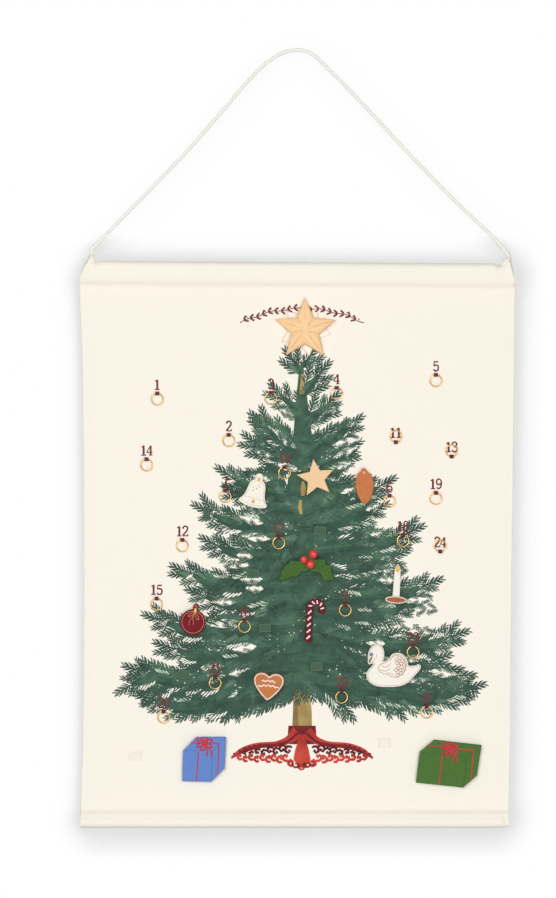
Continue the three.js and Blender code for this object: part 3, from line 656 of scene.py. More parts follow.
def side_edge(side, z, shy=0.0):
    """Where the cloth ends on one side at a height. shy draws back the open end of the sleeve."""
    share = (z - flat_foot) / (flat_top - flat_foot)
    shares = [row[0] for row in edge_draw_in]
    inwards = [row[1 if side < 0 else 2] for row in edge_draw_in]
    edge = half_width - float(np.interp(share, shares, inwards))
    out = exit_x(corner_at(side))
    top = exit_z(out)
    fall = min(max((top - z) / corner_slope, 0.0), 1.0)
    start = abs(out) + cord_diameter / 2 + 0.6 - shy
    bend = half_width - 1.5 - 0.5 * shy
    slanted = (1 - fall) ** 2 * start + 2 * fall * (1 - fall) * bend + fall**2 * (half_width + 0.5)
    return side * min(edge, slanted)


def top_sleeve(x):
    """The top sleeve's cut at x: middle and radius of its round, where it narrows, its seam and
    the radius that it narrows to. The cord draws its ends up."""
    corner = corner_at(x)
    at = abs(x)
    peak = top_dowel_end + corner["reach"] - cord_diameter / 2
    notch = top_dowel_end + notch_width + (2 if x > 0 else -1)
    narrowing = [(top_dowel_end - 1, sleeve_radius), (notch, 0.86 * sleeve_radius)]
    narrowing += [(peak + 1, 0.6 * sleeve_radius), (half_width, roll_radius)]
    round_r = eased(narrowing, at)
    places = [top_dowel_end - 3, notch - 1, notch, peak + 1.2]
    lift = float(np.interp(at, places, [0, -0.8 * corner["notch"], -corner["notch"], corner_lift]))
    dowel_z = top_edge - sleeve_radius - top_slant * x / (2 * half_width)
    round_z = dowel_z + sleeve_radius + lift - round_r
    return round_z, round_r, dowel_z - roll_drop, dowel_z - seam_drop, roll_radius


def bottom_sleeve(x):
    """The bottom sleeve's cut at x. Past the dowel's end the empty sleeve falls together."""
    at = abs(x - foot_middle)
    round_r = eased([(bottom_dowel_end, sleeve_radius), (half_width - 5, 5.3)], at)
    rise = eased([(bottom_dowel_end, 0), (half_width - 5, 1)], at)
    low = bottom_dowel_z - sleeve_radius + rise + round_r
    narrow_z = bottom_dowel_z + foot_roll_drop
    return low, round_r, narrow_z, bottom_dowel_z + foot_seam_drop, foot_roll_radius


def sleeve_path(sleeve, count):
    """Middle of the cloth round a sleeve, from the seam in front, over the dowel, to the seam
    behind, as (y, z)."""
    round_z, round_r, narrow_z, seam_z, narrow_r = sleeve
    up = 1 if round_z > seam_z else -1
    side = math.asin(min(0.9, (round_r - narrow_r) / abs(round_z - narrow_z)))
    gap = abs(narrow_z - seam_z)
    close = math.asin(narrow_r / gap)
    narrow = narrow_r - cloth / 2
    round_mid = round_r - cloth / 2
    low = (narrow * math.cos(close), narrow_z - up * narrow * math.sin(close))
    path = [(0, seam_z)]
    # The front leaves the seam flat and swells out over the dowel
    for deep, share in ((0.5, 0.12), (1.1, 0.32), (1.5, 0.58)):
        path.append((-deep * narrow, seam_z + up * share * gap))
    path.append((-1.7 * narrow, low[1]))
    for k in range(17):
        a = math.pi + side - (k / 16) * (math.pi + 2 * side)
        path.append((round_mid * math.cos(a), round_z + up * round_mid * math.sin(a)))
    path += [low, (cloth + 0.1, seam_z)]
    # Its corners are cut twice, which leaves soft bends
    for _ in range(2):
        softer = [path[0]]
        for a, b in zip(path, path[1:]):
            softer.append((0.75 * a[0] + 0.25 * b[0], 0.75 * a[1] + 0.25 * b[1]))
            softer.append((0.25 * a[0] + 0.75 * b[0], 0.25 * a[1] + 0.75 * b[1]))
        path = softer + [path[-1]]
    return spread_out(path, count)


ring_days = range(1, 25)
turned_up = (11, 13, 24)


def middle_of(node):
    low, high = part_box(node)
    return (low + high) / 2


ring_middles = {day: middle_of(f"day_ring_{day:02d}") for day in ring_days}
ornament_names = [
    "star_topper", "bell", "flat_star", "pine_cone", "holly", "candle",
    "candy_cane", "bauble", "gingerbread_heart", "swan", "blue_gift", "green_gift",
]
held_places = [(p.x / MM, p.z / MM) for p in ring_middles.values()]
held_places += [(p.x / MM, p.z / MM) for p in (middle_of(f"{n}_pad") for n in ornament_names)]


# Folds that run down from each top corner: (tilt from upright, depth, length)
corner_folds = [(0.25, 1.5, 70), (0.62, 1.3, 95), (1.0, 0.9, 80), (1.32, 0.7, 60)]
held_reach = 34  # how far round a sewn place the cloth is held flat


def cloth_swell(x, z):
    """How far the cloth of the flat panel lies behind its flat place, in millimetres. It is flat
    where something is sewn on, and its folds run from the top corners."""
    x = np.asarray(x, float)
    z = np.asarray(z, float)
    free = np.ones_like(x)
    for px, pz in held_places:
        free *= 1 - np.exp(-(((x - px) ** 2 + (z - pz) ** 2) / held_reach**2))
    waves = 0.5 + 0.5 * np.sin(x / 71 + 1.1 * np.sin(z / 160)) * np.cos(z / 118 + x / 260)
    waves += 0.35 * (1 + np.sin(x / 37 + z / 83 + 2.0))
    swell = 0.9 * free * waves
    for side, reach in ((-1, 288), (1, 294)):
        for tilt, strength, long in corner_folds:
            dx = side * (side * reach - x)
            dz = (top_edge - 22) - z
            way = math.sin(tilt), math.cos(tilt)
            along = dx * way[0] + dz * way[1]
            off = dx * way[1] - dz * way[0]
            fold = np.exp(-((off / (5 + 0.1 * np.clip(along, 0, None))) ** 2))
            fold *= np.exp(-np.clip(along, 0, None) / long) * (along > 0) * free
            swell += strength * fold * np.clip(along / 12, 0, 1)
    fade = np.clip((flat_top + 3 - z) / 18, 0, 1) * np.clip((z - flat_foot + 3) / 18, 0, 1)
    return swell * fade


def corner_puckers(x, z):
    """Small folds that fan out from where the cord gathers the top corners."""
    deep = np.zeros_like(x)
    for corner, folds in ((left_corner, 7.0), (right_corner, 8.0)):
        out = exit_x(corner)
        dx = (out - x) * corner["side"]
        dz = exit_z(out) - 4 - z
        far = np.hypot(dx, dz) + 1e-6
        fan = np.arctan2(dz, dx)
        near = np.exp(-far / 26) * np.clip(far / 9, 0, 1)
        deep -= 2.6 * near * np.abs(np.sin(folds * fan / 2 + 0.6 + far / 60)) ** 3
        pit_x = corner["side"] * (top_dowel_end + 3.6)
        pit_z = top_edge - top_slant * pit_x / (2 * half_width) - 2.5
        deep += 2.4 * np.exp(-((x - pit_x) ** 2 + (z - pit_z) ** 2) / 2.4**2)
    return deep


sleeve_rows = 44
hem_rows = 3
hem_step = 1.6
column_step = 4.4
end_step = 1.5
end_width = 36
inner_edge = half_width - 40  # the columns outside this follow the side edges
sheet_step = 5.0
open_edge = 4.2  # how far the front of an open sleeve end lies inside its back


def column_places():
    """The columns of the sheet, from left to right, closer together towards its side edges."""
    inner = half_width - end_width
    ends = np.arange(inner, half_width, end_step)
    middle_part = np.linspace(-inner, inner, int(2 * inner / column_step) + 1)
    return np.concatenate([[-half_width], -ends[:0:-1], middle_part, ends[1:], [half_width]])


def drawn_to(nominal, edge):
    """Where a column lies when the cloth ends at edge."""
    if abs(nominal) <= inner_edge:
        return nominal
    side = -1 if nominal < 0 else 1
    share = (abs(nominal) - inner_edge) / (half_width - inner_edge)
    return side * (inner_edge + share * (abs(edge) - inner_edge))


def sheet_column(nominal, sheet_rows):
    """One column of the sheet, from behind the top seam, round the top sleeve, down the front and
    round the bottom sleeve."""
    side = -1 if nominal < 0 else 1
    x = drawn_to(nominal, side_edge(side, exit_z(exit_x(corner_at(side)))))
    over = sleeve_path(top_sleeve(x), sleeve_rows)
    under = sleeve_path(bottom_sleeve(x), sleeve_rows)
    top_seam = over[0][1]
    foot_seam = under[0][1]
    path = [(cloth + 0.1, top_seam - hem_step * k) for k in range(hem_rows, 0, -1)]
    path += [tuple(p) for p in over[::-1]]
    for k in range(1, sheet_rows):
        path.append((0.0, top_seam + (foot_seam - top_seam) * k / sheet_rows))
    path += [tuple(p) for p in under]
    path += [(cloth + 0.1, foot_seam + hem_step * k) for k in range(1, hem_rows + 1)]
    column = []
    for y, z in path:
        shy = open_edge * min(max((z - flat_top) / 12, 0), 1) if y < 0.5 else 0.0
        shy += 1.5 if y < 0.5 and z < flat_foot else 0.0
        column.append((drawn_to(nominal, side_edge(side, z, shy)), y, z))
    return column


def canvas_panel():
    nominals = column_places()
    sheet_rows = int((flat_top - flat_foot) / sheet_step)
    points = np.array([sheet_column(nominal, sheet_rows) for nominal in nominals])
    first_sheet = hem_rows + sleeve_rows - 1
    flat = points[:, first_sheet : first_sheet + sheet_rows + 1]
    flat[..., 1] += cloth_swell(flat[..., 0], flat[..., 2])
    front = points[..., 1] < 0.6
    puckers = corner_puckers(points[..., 0], points[..., 2])
    points[..., 1] += np.where(front, puckers, 0)
    along = np.zeros(points.shape[:2])
    along[:, 1:] = np.cumsum(np.linalg.norm(np.diff(points, axis=1), axis=2), axis=1)
    rows = points.shape[1]
    faces = []
    for c in range(len(nominals) - 1):
        for r in range(rows - 1):
            a = c * rows + r
            faces.append((a, a + 1, a + rows + 1, a + rows))
    piece = piece_from("canvas", points.reshape(-1, 3) * MM, faces)
    laid_out(piece, "cloth", np.stack([points[..., 0], along], axis=2).reshape(-1, 2) * MM)
    shaped(piece, "SOLIDIFY", thickness=cloth * MM, offset=0)
    piece.data.shade_smooth()
    return piece, float(along[:, -1].mean())


canvas, cloth_length = canvas_panel()
done(canvas, "panel", "canvas", canvas_material, "canvas_panel")


def side_hem(side):
    """The folded side edge of the cloth, behind the flat of the panel."""
    section = [(0.2, 0), (-0.35, 0.3), (-0.35, 1.3), (0.2, 1.75), (2, 1.8), (hem_width - 0.6, 1.8)]
    section += [(hem_width, 1.5), (hem_width, 0.9), (hem_width - 1, 0.62), (0.8, 0.62)]
    rows = 150
    points = []
    for r in range(rows + 1):
        z = flat_foot + 5 + (flat_top - flat_foot - 8) * r / rows
        edge = side_edge(side, z)
        for inwards, y in section:
            x = edge - side * inwards
            points.append((x * MM, (y + float(cloth_swell(x, z))) * MM, z * MM))
    name = "left_hem" if side < 0 else "right_hem"
    return outward(piece_from(name, points, tube_faces(rows + 1, len(section))))


def rolled_edge(side):
    """The rolled edge of the sleeve's back, which shows beside its open front."""
    top_z = exit_z(exit_x(corner_at(side)))
    path = sleeve_path(top_sleeve(side_edge(side, top_z)), 80)
    route = [(y, z) for y, z in path if y > 1.7 and z < top_z - 5]
    radius, sides = 1.3, 10
    points = []
    for y, z in route:
        for k in range(sides):
            a = 2 * math.pi * k / sides
            x = side_edge(side, z) - side * (radius + 0.2) + radius * math.cos(a)
            points.append((x * MM, (y - 1.4 + radius * math.sin(a)) * MM, z * MM))
    name = "left_rolled_edge" if side < 0 else "right_rolled_edge"
    return outward(piece_from(name, points, tube_faces(len(route), sides)))


hems = [done(smooth(side_hem(side)), "panel", "canvas", hem_material) for side in (-1, 1)]
for side in (-1, 1):
    done(smooth(rolled_edge(side)), "panel", "canvas", hem_material)

# The cords

# The free stretch: up out of the left corner, over the nail and down to the right corner
free_route = [
    (exit_x(left_corner), exit_z(exit_x(left_corner)) + 0.3),
    (exit_x(left_corner), exit_z(exit_x(left_corner)) + 1.8),
    (-287.5, -279.5), (-280, -271), (-236, -226), (-197, -186), (-152, -139), (-108, -89),
    (-64, -38), (-41, -16.5), (-20, -3.8), (0, 0), (18, -4.2), (48, -31), (93, -77),
    (160, -149), (227, -217), (271, -259), (284, -272.5), (292.5, -283),
    (exit_x(right_corner), exit_z(exit_x(right_corner)) + 1.8),
    (exit_x(right_corner), exit_z(exit_x(right_corner)) + 0.3),
]


def mixed(a, b, start, end, t):
    """What lies between a at the start and b at the end, at t."""
    return (end - t) / (end - start) * a + (t - start) / (end - start) * b


def centripetal(points, steps):
    """A smooth line through the points, with even tension whatever their spacing."""
    line = [np.array(p, float) for p in points]
    line = [2 * line[0] - line[1]] + line + [2 * line[-1] - line[-2]]
    made = []
    for k in range(1, len(line) - 2):
        points = line[k - 1 : k + 3]
        times = [0.0]
        for a, b in zip(points, points[1:]):
            times.append(times[-1] + math.sqrt(np.linalg.norm(b - a)))
        for j in range(steps):
            t = times[1] + (times[2] - times[1]) * j / steps
            near = [mixed(points[n], points[n + 1], times[n], times[n + 1], t) for n in range(3)]
            left = mixed(near[0], near[1], times[0], times[2], t)
            right = mixed(near[1], near[2], times[1], times[3], t)
            made.append(tuple(mixed(left, right, times[1], times[2], t)))
    made.append(tuple(line[-2]))
    return made


braid_lobes = 6  # strands that cross in each half turn round the cord
braid_turn = 1.5  # how far they wind in a millimetre, in radians
braid_relief = 0.01


def braided(name, route, radius):
    """A braided cotton cord along a route of (x, z): its strands cross in the two directions
    and stand a little proud of the core."""
    line = evenly(route, 0.8)
    along = distances(line)
    sides = 24
    points, uvs = [], []
    for (x, z), (tx, tz), s in zip(line, headings(line), along):
        for k in range(sides):
            a = 2 * math.pi * k / sides
            one_way = math.sin(braid_lobes * a + s * braid_turn)
            lay = one_way * math.sin(braid_lobes * a - s * braid_turn)
            r = radius * (0.985 + braid_relief * lay)
            out = r * math.cos(a)
            points.append(((x - tz * out) * MM, r * math.sin(a) * MM, (z + tx * out) * MM))
            uvs.append((2 * math.pi * radius * k / sides * MM, s * MM))
    piece = piece_from(name, points, tube_faces(len(line), sides))
    laid_out(piece, "lay", uvs)
    outward(piece, merged=False)
    piece.data.shade_smooth()
    return piece, line, float(along[-1])


cord_route = centripetal(free_route, 24)
cord, cord_line, cord_length = braided("cotton_hanging_cord", cord_route, cord_diameter / 2)
done(cord, "panel", "cord", cord_material, "hanging_cord")


def sleeve_route():
    """Under the top dowel, and up round both its ends."""
    turn = 11
    half = []
    for corner in (left_corner, right_corner):
        out = exit_x(corner)
        run = top_edge - sleeve_radius - top_slant * out / (2 * half_width) - roll_drop
        part = []
        for k in range(9):
            a = k / 8 * math.pi / 2
            x = out - corner["side"] * turn * (1 - math.sin(a))
            part.append((x, run + turn * (1 - math.cos(a))))
        part.append((out, exit_z(out)))
        half.append(part)
    return half[0][::-1] + half[1]


hidden_cord, _, _ = braided("cotton_sleeve_cord", sleeve_route(), cord_diameter / 2)
done(hidden_cord, "panel", "cord", cord_material, "sleeve_cord")


def turned_dowel(name, node):
    """A birch dowel with its end edges eased."""
    low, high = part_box(node)
    slope = math.atan(top_slant / (2 * half_width)) if node == "top_dowel" else 0
    piece = added(
        name, bpy.ops.mesh.primitive_cylinder_add, vertices=64, radius=dowel_radius * MM,
        depth=high.x - low.x, location=(low + high) / 2,
    )
    piece.rotation_euler = (0, math.pi / 2 + slope, 0)
    settled(piece)
    corners = math.radians(50)
    shaped(piece, "BEVEL", width=MM, segments=3, limit_method="ANGLE", angle_limit=corners)
    return smooth(piece, 35)


for name, node in (("top_birch_dowel", "top_dowel"), ("bottom_birch_dowel", "bottom_dowel")):
    done(turned_dowel(name, node), "panel", "wood", wood_material, node)

# Thread work


def stitch_pattern(length, width, high):
    """One stitch, a thread's length fat in its middle, lying along X."""
    ball = bpy.ops.mesh.primitive_uv_sphere_add
    piece = added("stitch", ball, segments=6, ring_count=5, radius=0.5 * MM)
    piece.rotation_euler = (0, math.pi / 2, 0)
    settled(piece)
    piece.scale = (length, high, width)
    return settled(piece)


def stitches(name, lines, pitch, length, width, high, front, place=None):
    """Stitches along lines of (x, z), lying on front, which gives y for a place."""
    pattern = stitch_pattern(length, width, high)
    places = []
    for line in lines:
        dots = evenly(line, pitch)
        for (ax, az), (bx, bz) in zip(dots, dots[1:]):
            x, z = (ax + bx) / 2, (az + bz) / 2
            turn = math.atan2(bz - az, bx - ax)
            y = front(x, z) if callable(front) else front
            places.append(shift(x, y, z) @ Matrix.Rotation(-turn, 4, "Y"))
    piece = copies(name, pattern, places)
    thrown_away(pattern)
    if place is not None:
        piece.data.transform(place)
    return piece


satin_section = [
    (-0.5, 0.35), (-0.5, 0), (-0.36, -0.62), (0, -1), (0.36, -0.62), (0.5, 0), (0.5, 0.35),
]


def satin_piece(name, lines, width, high, front, place=None, loop=False):
    """Satin-stitched bands: threads lie side by side across each line, every second one a little
    shorter and lower."""
    points, faces = [], []
    for line, wide in lines:
        dots = evenly(line, 0.42, loop)
        start = len(points)
        for k, ((x, z), (tx, tz)) in enumerate(zip(dots, headings(dots, loop))):
            ridge, reach = (1.0, 1.0) if k % 2 else (0.86, 0.95)
            base = front(x, z) if callable(front) else front
            for across, up in satin_section:
                w = across * wide * width * reach
                points.append((x - tz * w, base + up * high * ridge, z + tx * w))
        faces += tube_faces(len(dots), len(satin_section), start, loop)
    piece = outward(piece_from(name, np.array(points) * MM, faces), merged=False)
    if place is not None:
        piece.data.transform(place)
    piece.data.shade_smooth()
    return piece


cloth_front = -cloth / 2


def on_cloth(lift=0.0):
    """A function for y on the front of the flat panel, a little proud of it."""
    return lambda x, z: cloth_front - lift + float(cloth_swell(x, z))


# Numbers, in satin stitch. Each is drawn ten high, with a width for each stroke.


def ring_line(x, z, wide, high):
    turns = [k / 20 * 2 * math.pi for k in range(21)]
    return [(x + wide * math.sin(a), z + high * math.cos(a)) for a in turns]


def digit_strokes():
    two = [(1.0, 7.2), (1.5, 8.8), (3.1, 9.5), (5.0, 8.6), (5.1, 6.7), (3.8, 4.4), (0.9, 0.9)]
    three_top = [(0.9, 7.6), (1.8, 9.1), (3.6, 9.5), (5.0, 8.1), (4.6, 6.2), (2.6, 5.3)]
    three_foot = [(2.6, 5.3), (4.9, 4.8), (5.5, 2.8), (4.4, 0.9), (2.2, 0.5), (0.7, 2.2)]
    five = [(1.2, 5.2), (3.0, 6.0), (4.9, 5.2), (5.4, 3.2), (4.5, 1.0), (2.4, 0.5), (0.8, 1.9)]
    six = [(5.1, 8.2), (3.6, 9.5), (1.7, 8.0), (0.9, 5.0), (1.2, 2.2), (2.9, 0.5), (4.8, 1.2)]
    six += [(5.4, 3.2), (4.6, 5.1), (3.0, 5.6), (1.5, 4.6)]
    return {
        "0": [(ring_line(3.1, 5, 2.1, 4.4), 1.5)],
        "1": [
            ([(3.1, 0.5), (3.1, 9.5)], 2.0), ([(1.1, 7.9), (2.9, 9.3)], 1.2),
            ([(0.9, 0.5), (5.3, 0.5)], 1.1),
        ],
        "2": [
            (flowing(two), 1.6), ([(0.8, 0.6), (5.6, 0.6)], 1.2), ([(5.6, 0.3), (5.6, 2.3)], 0.9),
        ],
        "3": [(flowing(three_top), 1.5), (flowing(three_foot), 1.6)],
        "4": [
            ([(4.2, 0.5), (4.2, 9.4)], 1.8), ([(4.0, 9.2), (0.5, 3.2)], 1.0),
            ([(0.4, 2.9), (6.0, 2.9)], 1.0), ([(2.6, 0.5), (5.9, 0.5)], 0.9),
        ],
        "5": [
            ([(1.4, 9.0), (5.3, 9.0)], 1.4), ([(1.5, 9.2), (1.2, 5.3)], 1.0), (flowing(five), 1.6),
        ],
        "6": [(flowing(six), 1.5)],
        "7": [
            ([(0.8, 8.9), (5.7, 8.9)], 1.4), ([(0.9, 9.3), (0.8, 7.3)], 0.9),
            (flowing([(5.4, 8.6), (3.9, 5.4), (3.1, 0.5)]), 1.7),
        ],
        "8": [(ring_line(3.1, 7.4, 1.7, 2.0), 1.4), (ring_line(3.1, 2.9, 2.2, 2.4), 1.5)],
        "9": [(flowing([(6.3 - x, 10 - z) for x, z in six]), 1.5)],
    }


number_height = 15
digit_step = 5.5  # in tenths of the height
digit_wide = 6.2
number_rise = 20.5  # from the ring's middle to the number's
number_rise_turned = 5.2
number_relief = 0.295  # the rings lie 0.3 in front of the cloth


def numbers():
    strokes = digit_strokes()
    unit = number_height / 10
    lines = []
    for day, middle in ring_middles.items():
        text = str(day)
        rise = number_rise_turned if day in turned_up else number_rise
        wide = digit_step * (len(text) - 1) + digit_wide
        left = middle.x / MM - wide * unit / 2
        foot = middle.z / MM + rise - number_height / 2
        for k, digit in enumerate(text):
            for line, stroke_width in strokes[digit]:
                drawn = [(left + (x + k * digit_step) * unit, foot + z * unit) for x, z in line]
                lines.append((drawn, stroke_width))
    return satin_piece("day_numbers", lines, unit, number_relief, on_cloth())


done(numbers(), "panel", "canvas", red_thread)

# The print: a fir tree on a stand. Its inks lie over one another in thin layers, lowest boughs
# first, and each group of boughs has a layer for its mass, its needles, its gaps and its lights.

ink_base = 0.05
ink_step = 0.0025
bough_groups = 12
group_layers = 4
tree_x = 6.6
crown_z = -414
skirt_z = -912
tree_reach = 266
top_layer = bough_groups * group_layers
open_count = 40
sprig_long = 40
dot_step = 2.0


def laid(points, layers):
    """The points, in millimetres, laid on the front of the cloth in their layers of ink."""
    points[:, 1] = cloth_front - ink_base - ink_step * layers
    points[:, 1] += cloth_swell(points[:, 0], points[:, 2])
    return points * MM


def brushed(name, strokes, ink):
    """Flat brush strokes. Each is a line of (x, z), its widths along the line and its layer."""
    points, layers, faces = [], [], []
    for line, widths, layer in strokes:
        step = 1.2 if max(widths) < 4 else 4.0
        dots = evenly(line, step)
        share = np.linspace(0, 1, len(dots))
        wide = np.interp(share, np.linspace(0, 1, len(widths)), widths)
        columns = max(1, math.ceil(max(widths) / 5))
        start = len(points)
        for (x, z), (tx, tz), w in zip(dots, headings(dots), wide):
            for k in range(columns + 1):
                off = w * (k / columns - 0.5)
                points.append((x - tz * off, 0.0, z + tx * off))
                layers.append(layer)
        for r in range(len(dots) - 1):
            for k in range(columns):
                a = start + r * (columns + 1) + k
                faces.append((a, a + columns + 1, a + columns + 2, a + 1))
    piece = piece_from(name, laid(np.array(points), np.array(layers)), faces)
    piece.data.shade_smooth()
    return done(piece, "panel", "canvas", ink)


def printed(name, pattern, placings, ink):
    """Copies of a flat pattern on the cloth. Each is (x, z, turn, size, layer)."""
    places = [
        shift(x, 0, z) @ Matrix.Rotation(-turn, 4, "Y") @ Matrix.Scale(size, 4)
        for x, z, turn, size, _ in placings
    ]
    piece = copies(name, pattern, places)
    layers = np.repeat([placing[-1] for placing in placings], len(pattern.data.vertices))
    set_points(piece, laid(points_of(piece) / MM, layers))
    return done(piece, "panel", "canvas", ink)


def mark_pattern():
    """A single touch of a pointed brush, a millimetre long and wide, along X."""
    return settled(added(
        "touch", bpy.ops.mesh.primitive_circle_add, vertices=6, radius=0.5 * MM,
        fill_type="NGON", rotation=(math.pi / 2, 0, 0),
    ))


def touch(x, z, turn, long, wide):
    """The place of a touch that starts at (x, z)."""
    middle = shift(x + long / 2 * math.cos(turn), 0, z + long / 2 * math.sin(turn))
    return middle @ Matrix.Rotation(-turn, 4, "Y") @ Matrix.Diagonal((long, 1, wide, 1))


def sprig_pattern(mark, chance):
    """The end of a fir twig, sprig_long in all: its stem, with needles on both sides."""
    places = [touch(-4, 0, 0, 44, 3.4)]
    pairs = 9
    for k in range(pairs):
        share = k / (pairs - 1)
        along = 1 + 34 * share
        for side in (-1, 1):
            long = (16.5 - 5 * share) * chance.uniform(0.84, 1.1)
            turn = side * math.radians(46 - 20 * share + chance.uniform(-6, 6))
            places.append(touch(along + chance.uniform(-0.8, 0.8), 0, turn, long, 2.6))
    return copies("sprig", mark, places)


def gaps_pattern(mark, chance, side):
    """A row of cloth-coloured gaps between the needles on one side of a bough."""
    places = []
    for k in range(5):
        turn = side * math.radians(36 + chance.uniform(-7, 7))
        long = chance.uniform(11, 15) * (1 - 0.4 * abs(k - 2) / 2)
        places.append(touch(4.5 * k, chance.uniform(-1, 1), turn, long, 2.0))
    return copies("needle_gaps", mark, places)


def height_at(low):
    """The height of what lies this low in the tree, from 0 at the crown to 1 at the skirt."""
    return crown_z + (skirt_z - crown_z) * low


def reach_at(low):
    return tree_reach * low**0.83


def bough(x, z, side, reach, rise, sag):
    """A bough's line: out from (x, z) by its reach, up by its rise, hanging a little between."""
    shares = ((0, 0, 0), (0.35, 0.36, 0.5), (0.74, 0.74, 1), (1, 1, 0))
    return flowing([(x + side * a * reach, z + b * rise - c * sag) for a, b, c in shares])


def slanted_bough(x, z, side, reach, down, sag):
    return bough(x, z, side, reach * math.cos(down), reach * math.sin(down), sag)


def tree_boughs(chance):
    """Each bough, lowest first: its line, and how low it is."""
    boughs = []
    rows = 14
    for row in range(rows):
        for side in (-1, 1):
            low = (rows - row - 0.25 * (1 + side) - chance.uniform(0, 0.35)) / rows
            low = min(max(low, 0.05), 1.0)
            reach = reach_at(low) * (1.0 if (row + (side > 0)) % 2 else 0.83)
            reach = reach * chance.uniform(0.93, 1.03) - 10
            tip = height_at(low) + chance.uniform(-7, 7)
            lean = math.radians(np.interp(low, [0, 0.15, 0.4, 0.75, 1], [62, 42, 17, 4, -5]))
            foot = min(tip - reach * math.tan(lean), crown_z - 10)
            sag = reach * np.interp(low, [0, 0.3, 1], [0, 0.04, 0.08])
            boughs.append((bough(tree_x, foot, side, reach, tip - foot, sag), low))
    inner = 28
    for k in range(inner):
        low = 0.24 + 0.72 * (k + 0.5) / inner
        side = 1 if k % 2 else -1
        reach = (24 + 76 * low) * chance.uniform(0.8, 1.1)
        x = tree_x + side * chance.uniform(-0.05, 0.22) * reach_at(low)
        down = math.radians(chance.uniform(-42, 12))
        boughs.append((slanted_bough(x, height_at(0.94 * low), side, reach, down, 4), low))
    for k in range(12):
        x = tree_x + (k - 5.5) * 33 + chance.uniform(-7, 7)
        side = -1 if x < tree_x else 1
        down = math.radians(-50 + 5 * abs(k - 5.5) + chance.uniform(-9, 9))
        reach = chance.uniform(48, 70)
        z = skirt_z + 42 + chance.uniform(-6, 6)
        boughs.append((slanted_bough(x, z, side, reach, down, -2), 1.0))
    return sorted(boughs, key=lambda made: -made[1])


bough_profile = np.array([0.4, 0.92, 1.0, 0.9, 0.72, 0.54, 0.4, 0.2])


def bough_width(mass, share):
    return mass * np.interp(share, np.linspace(0, 0.94, len(bough_profile)), bough_profile)


def open_places(strokes, chance):
    """Gaps between the boughs where the cloth shows, with needles that reach into them."""
    for k in range(open_count):
        low = 0.16 + 0.8 * (k + chance.random()) / open_count
        side = 1 if k % 2 else -1
        x = tree_x + side * chance.uniform(0.38, 0.76) * reach_at(low)
        z = height_at(low) + chance.uniform(-8, 8)
        lean = np.interp(low, [0, 0.4, 1], [38, 12, -8]) + chance.uniform(-12, 12)
        lean = side * math.radians(lean)
        long = chance.uniform(16, 42)
        wide = chance.uniform(7, 15)
        run, rise = long * math.cos(lean), long * math.sin(lean)
        line = flowing([(x + share * run, z + share * rise) for share in (0, 0.5, 1)])
        layer = min(int((1 - low) * 44) + 10, 42)
        strokes["holes"].append((line, [1, 0.7 * wide, wide, 0.8 * wide, 1], layer))
        for share in (0.1, 0.5, 0.9):
            for edge in (-1, 1):
                turn = lean + side * edge * math.radians(chance.uniform(14, 34))
                turn += 0 if side > 0 else math.pi
                back = 10 + 0.4 * wide
                at_x = x + share * run - back * math.cos(turn)
                at_z = z + share * rise - back * math.sin(turn) - edge * 0.2 * wide
                size = chance.uniform(0.32, 0.44)
                kind = "dark" if edge > 0 else "middle"
                strokes[kind].append((at_x, at_z, turn, size, layer + 1))


def beside(dot, turn, off):
    """The place that lies off to the left of a dot on a line that runs in the direction turn."""
    return dot[0] - math.sin(turn) * off, dot[1] + math.cos(turn) * off


def bough_needles(strokes, chance, dots, turns, mass, first):
    """Sprigs from both sides of a bough, and one at its tip."""
    long = dot_step * (len(dots) - 1)
    along = chance.uniform(4, 10)
    side = chance.choice((-1, 1))
    while along < long - 6:
        at = int(along / dot_step)
        wide = bough_width(mass, along / long)
        spread = math.radians(chance.uniform(20, 33)) * side
        x, z = beside(dots[at], turns[at], 0.3 * wide * side)
        size = (0.12 * wide / math.sin(abs(spread)) + chance.uniform(20, 29)) / sprig_long
        kind = "dark" if chance.random() < 0.66 else "middle"
        strokes[kind].append((x, z, turns[at] + spread, size, first + 1))
        if chance.random() < 0.1:
            strokes["light"].append((x, z, turns[at] + 0.5 * spread, 0.55 * size, first + 3))
        side = -side
        along += chance.uniform(6.5, 10)
    strokes["dark"].append((*dots[-6], turns[-4], 0.8, first + 1))


def bough_gaps(strokes, chance, dots, turns, mass, first):
    """Rows of gaps between the needles along the outer part of a long bough."""
    long = dot_step * (len(dots) - 1)
    row = chance.uniform(0.4, 0.52) * long
    while row < 0.94 * long - 18 and long > 60:
        at = int(row / dot_step)
        side = chance.choice((-1, -1, 1))
        edge = side * bough_width(mass, row / long) * chance.uniform(0.42, 0.6)
        if math.cos(turns[at]) < 0:
            edge = -edge
        x, z = beside(dots[at], turns[at], edge)
        layer = min(first + 2 + chance.choice((0, 4, 8)), top_layer - 5)
        kind = "gaps_over" if edge > 0 else "gaps_under"
        strokes[kind].append((x, z, turns[at], chance.uniform(0.8, 1.15), layer))
        row += chance.uniform(18, 38)


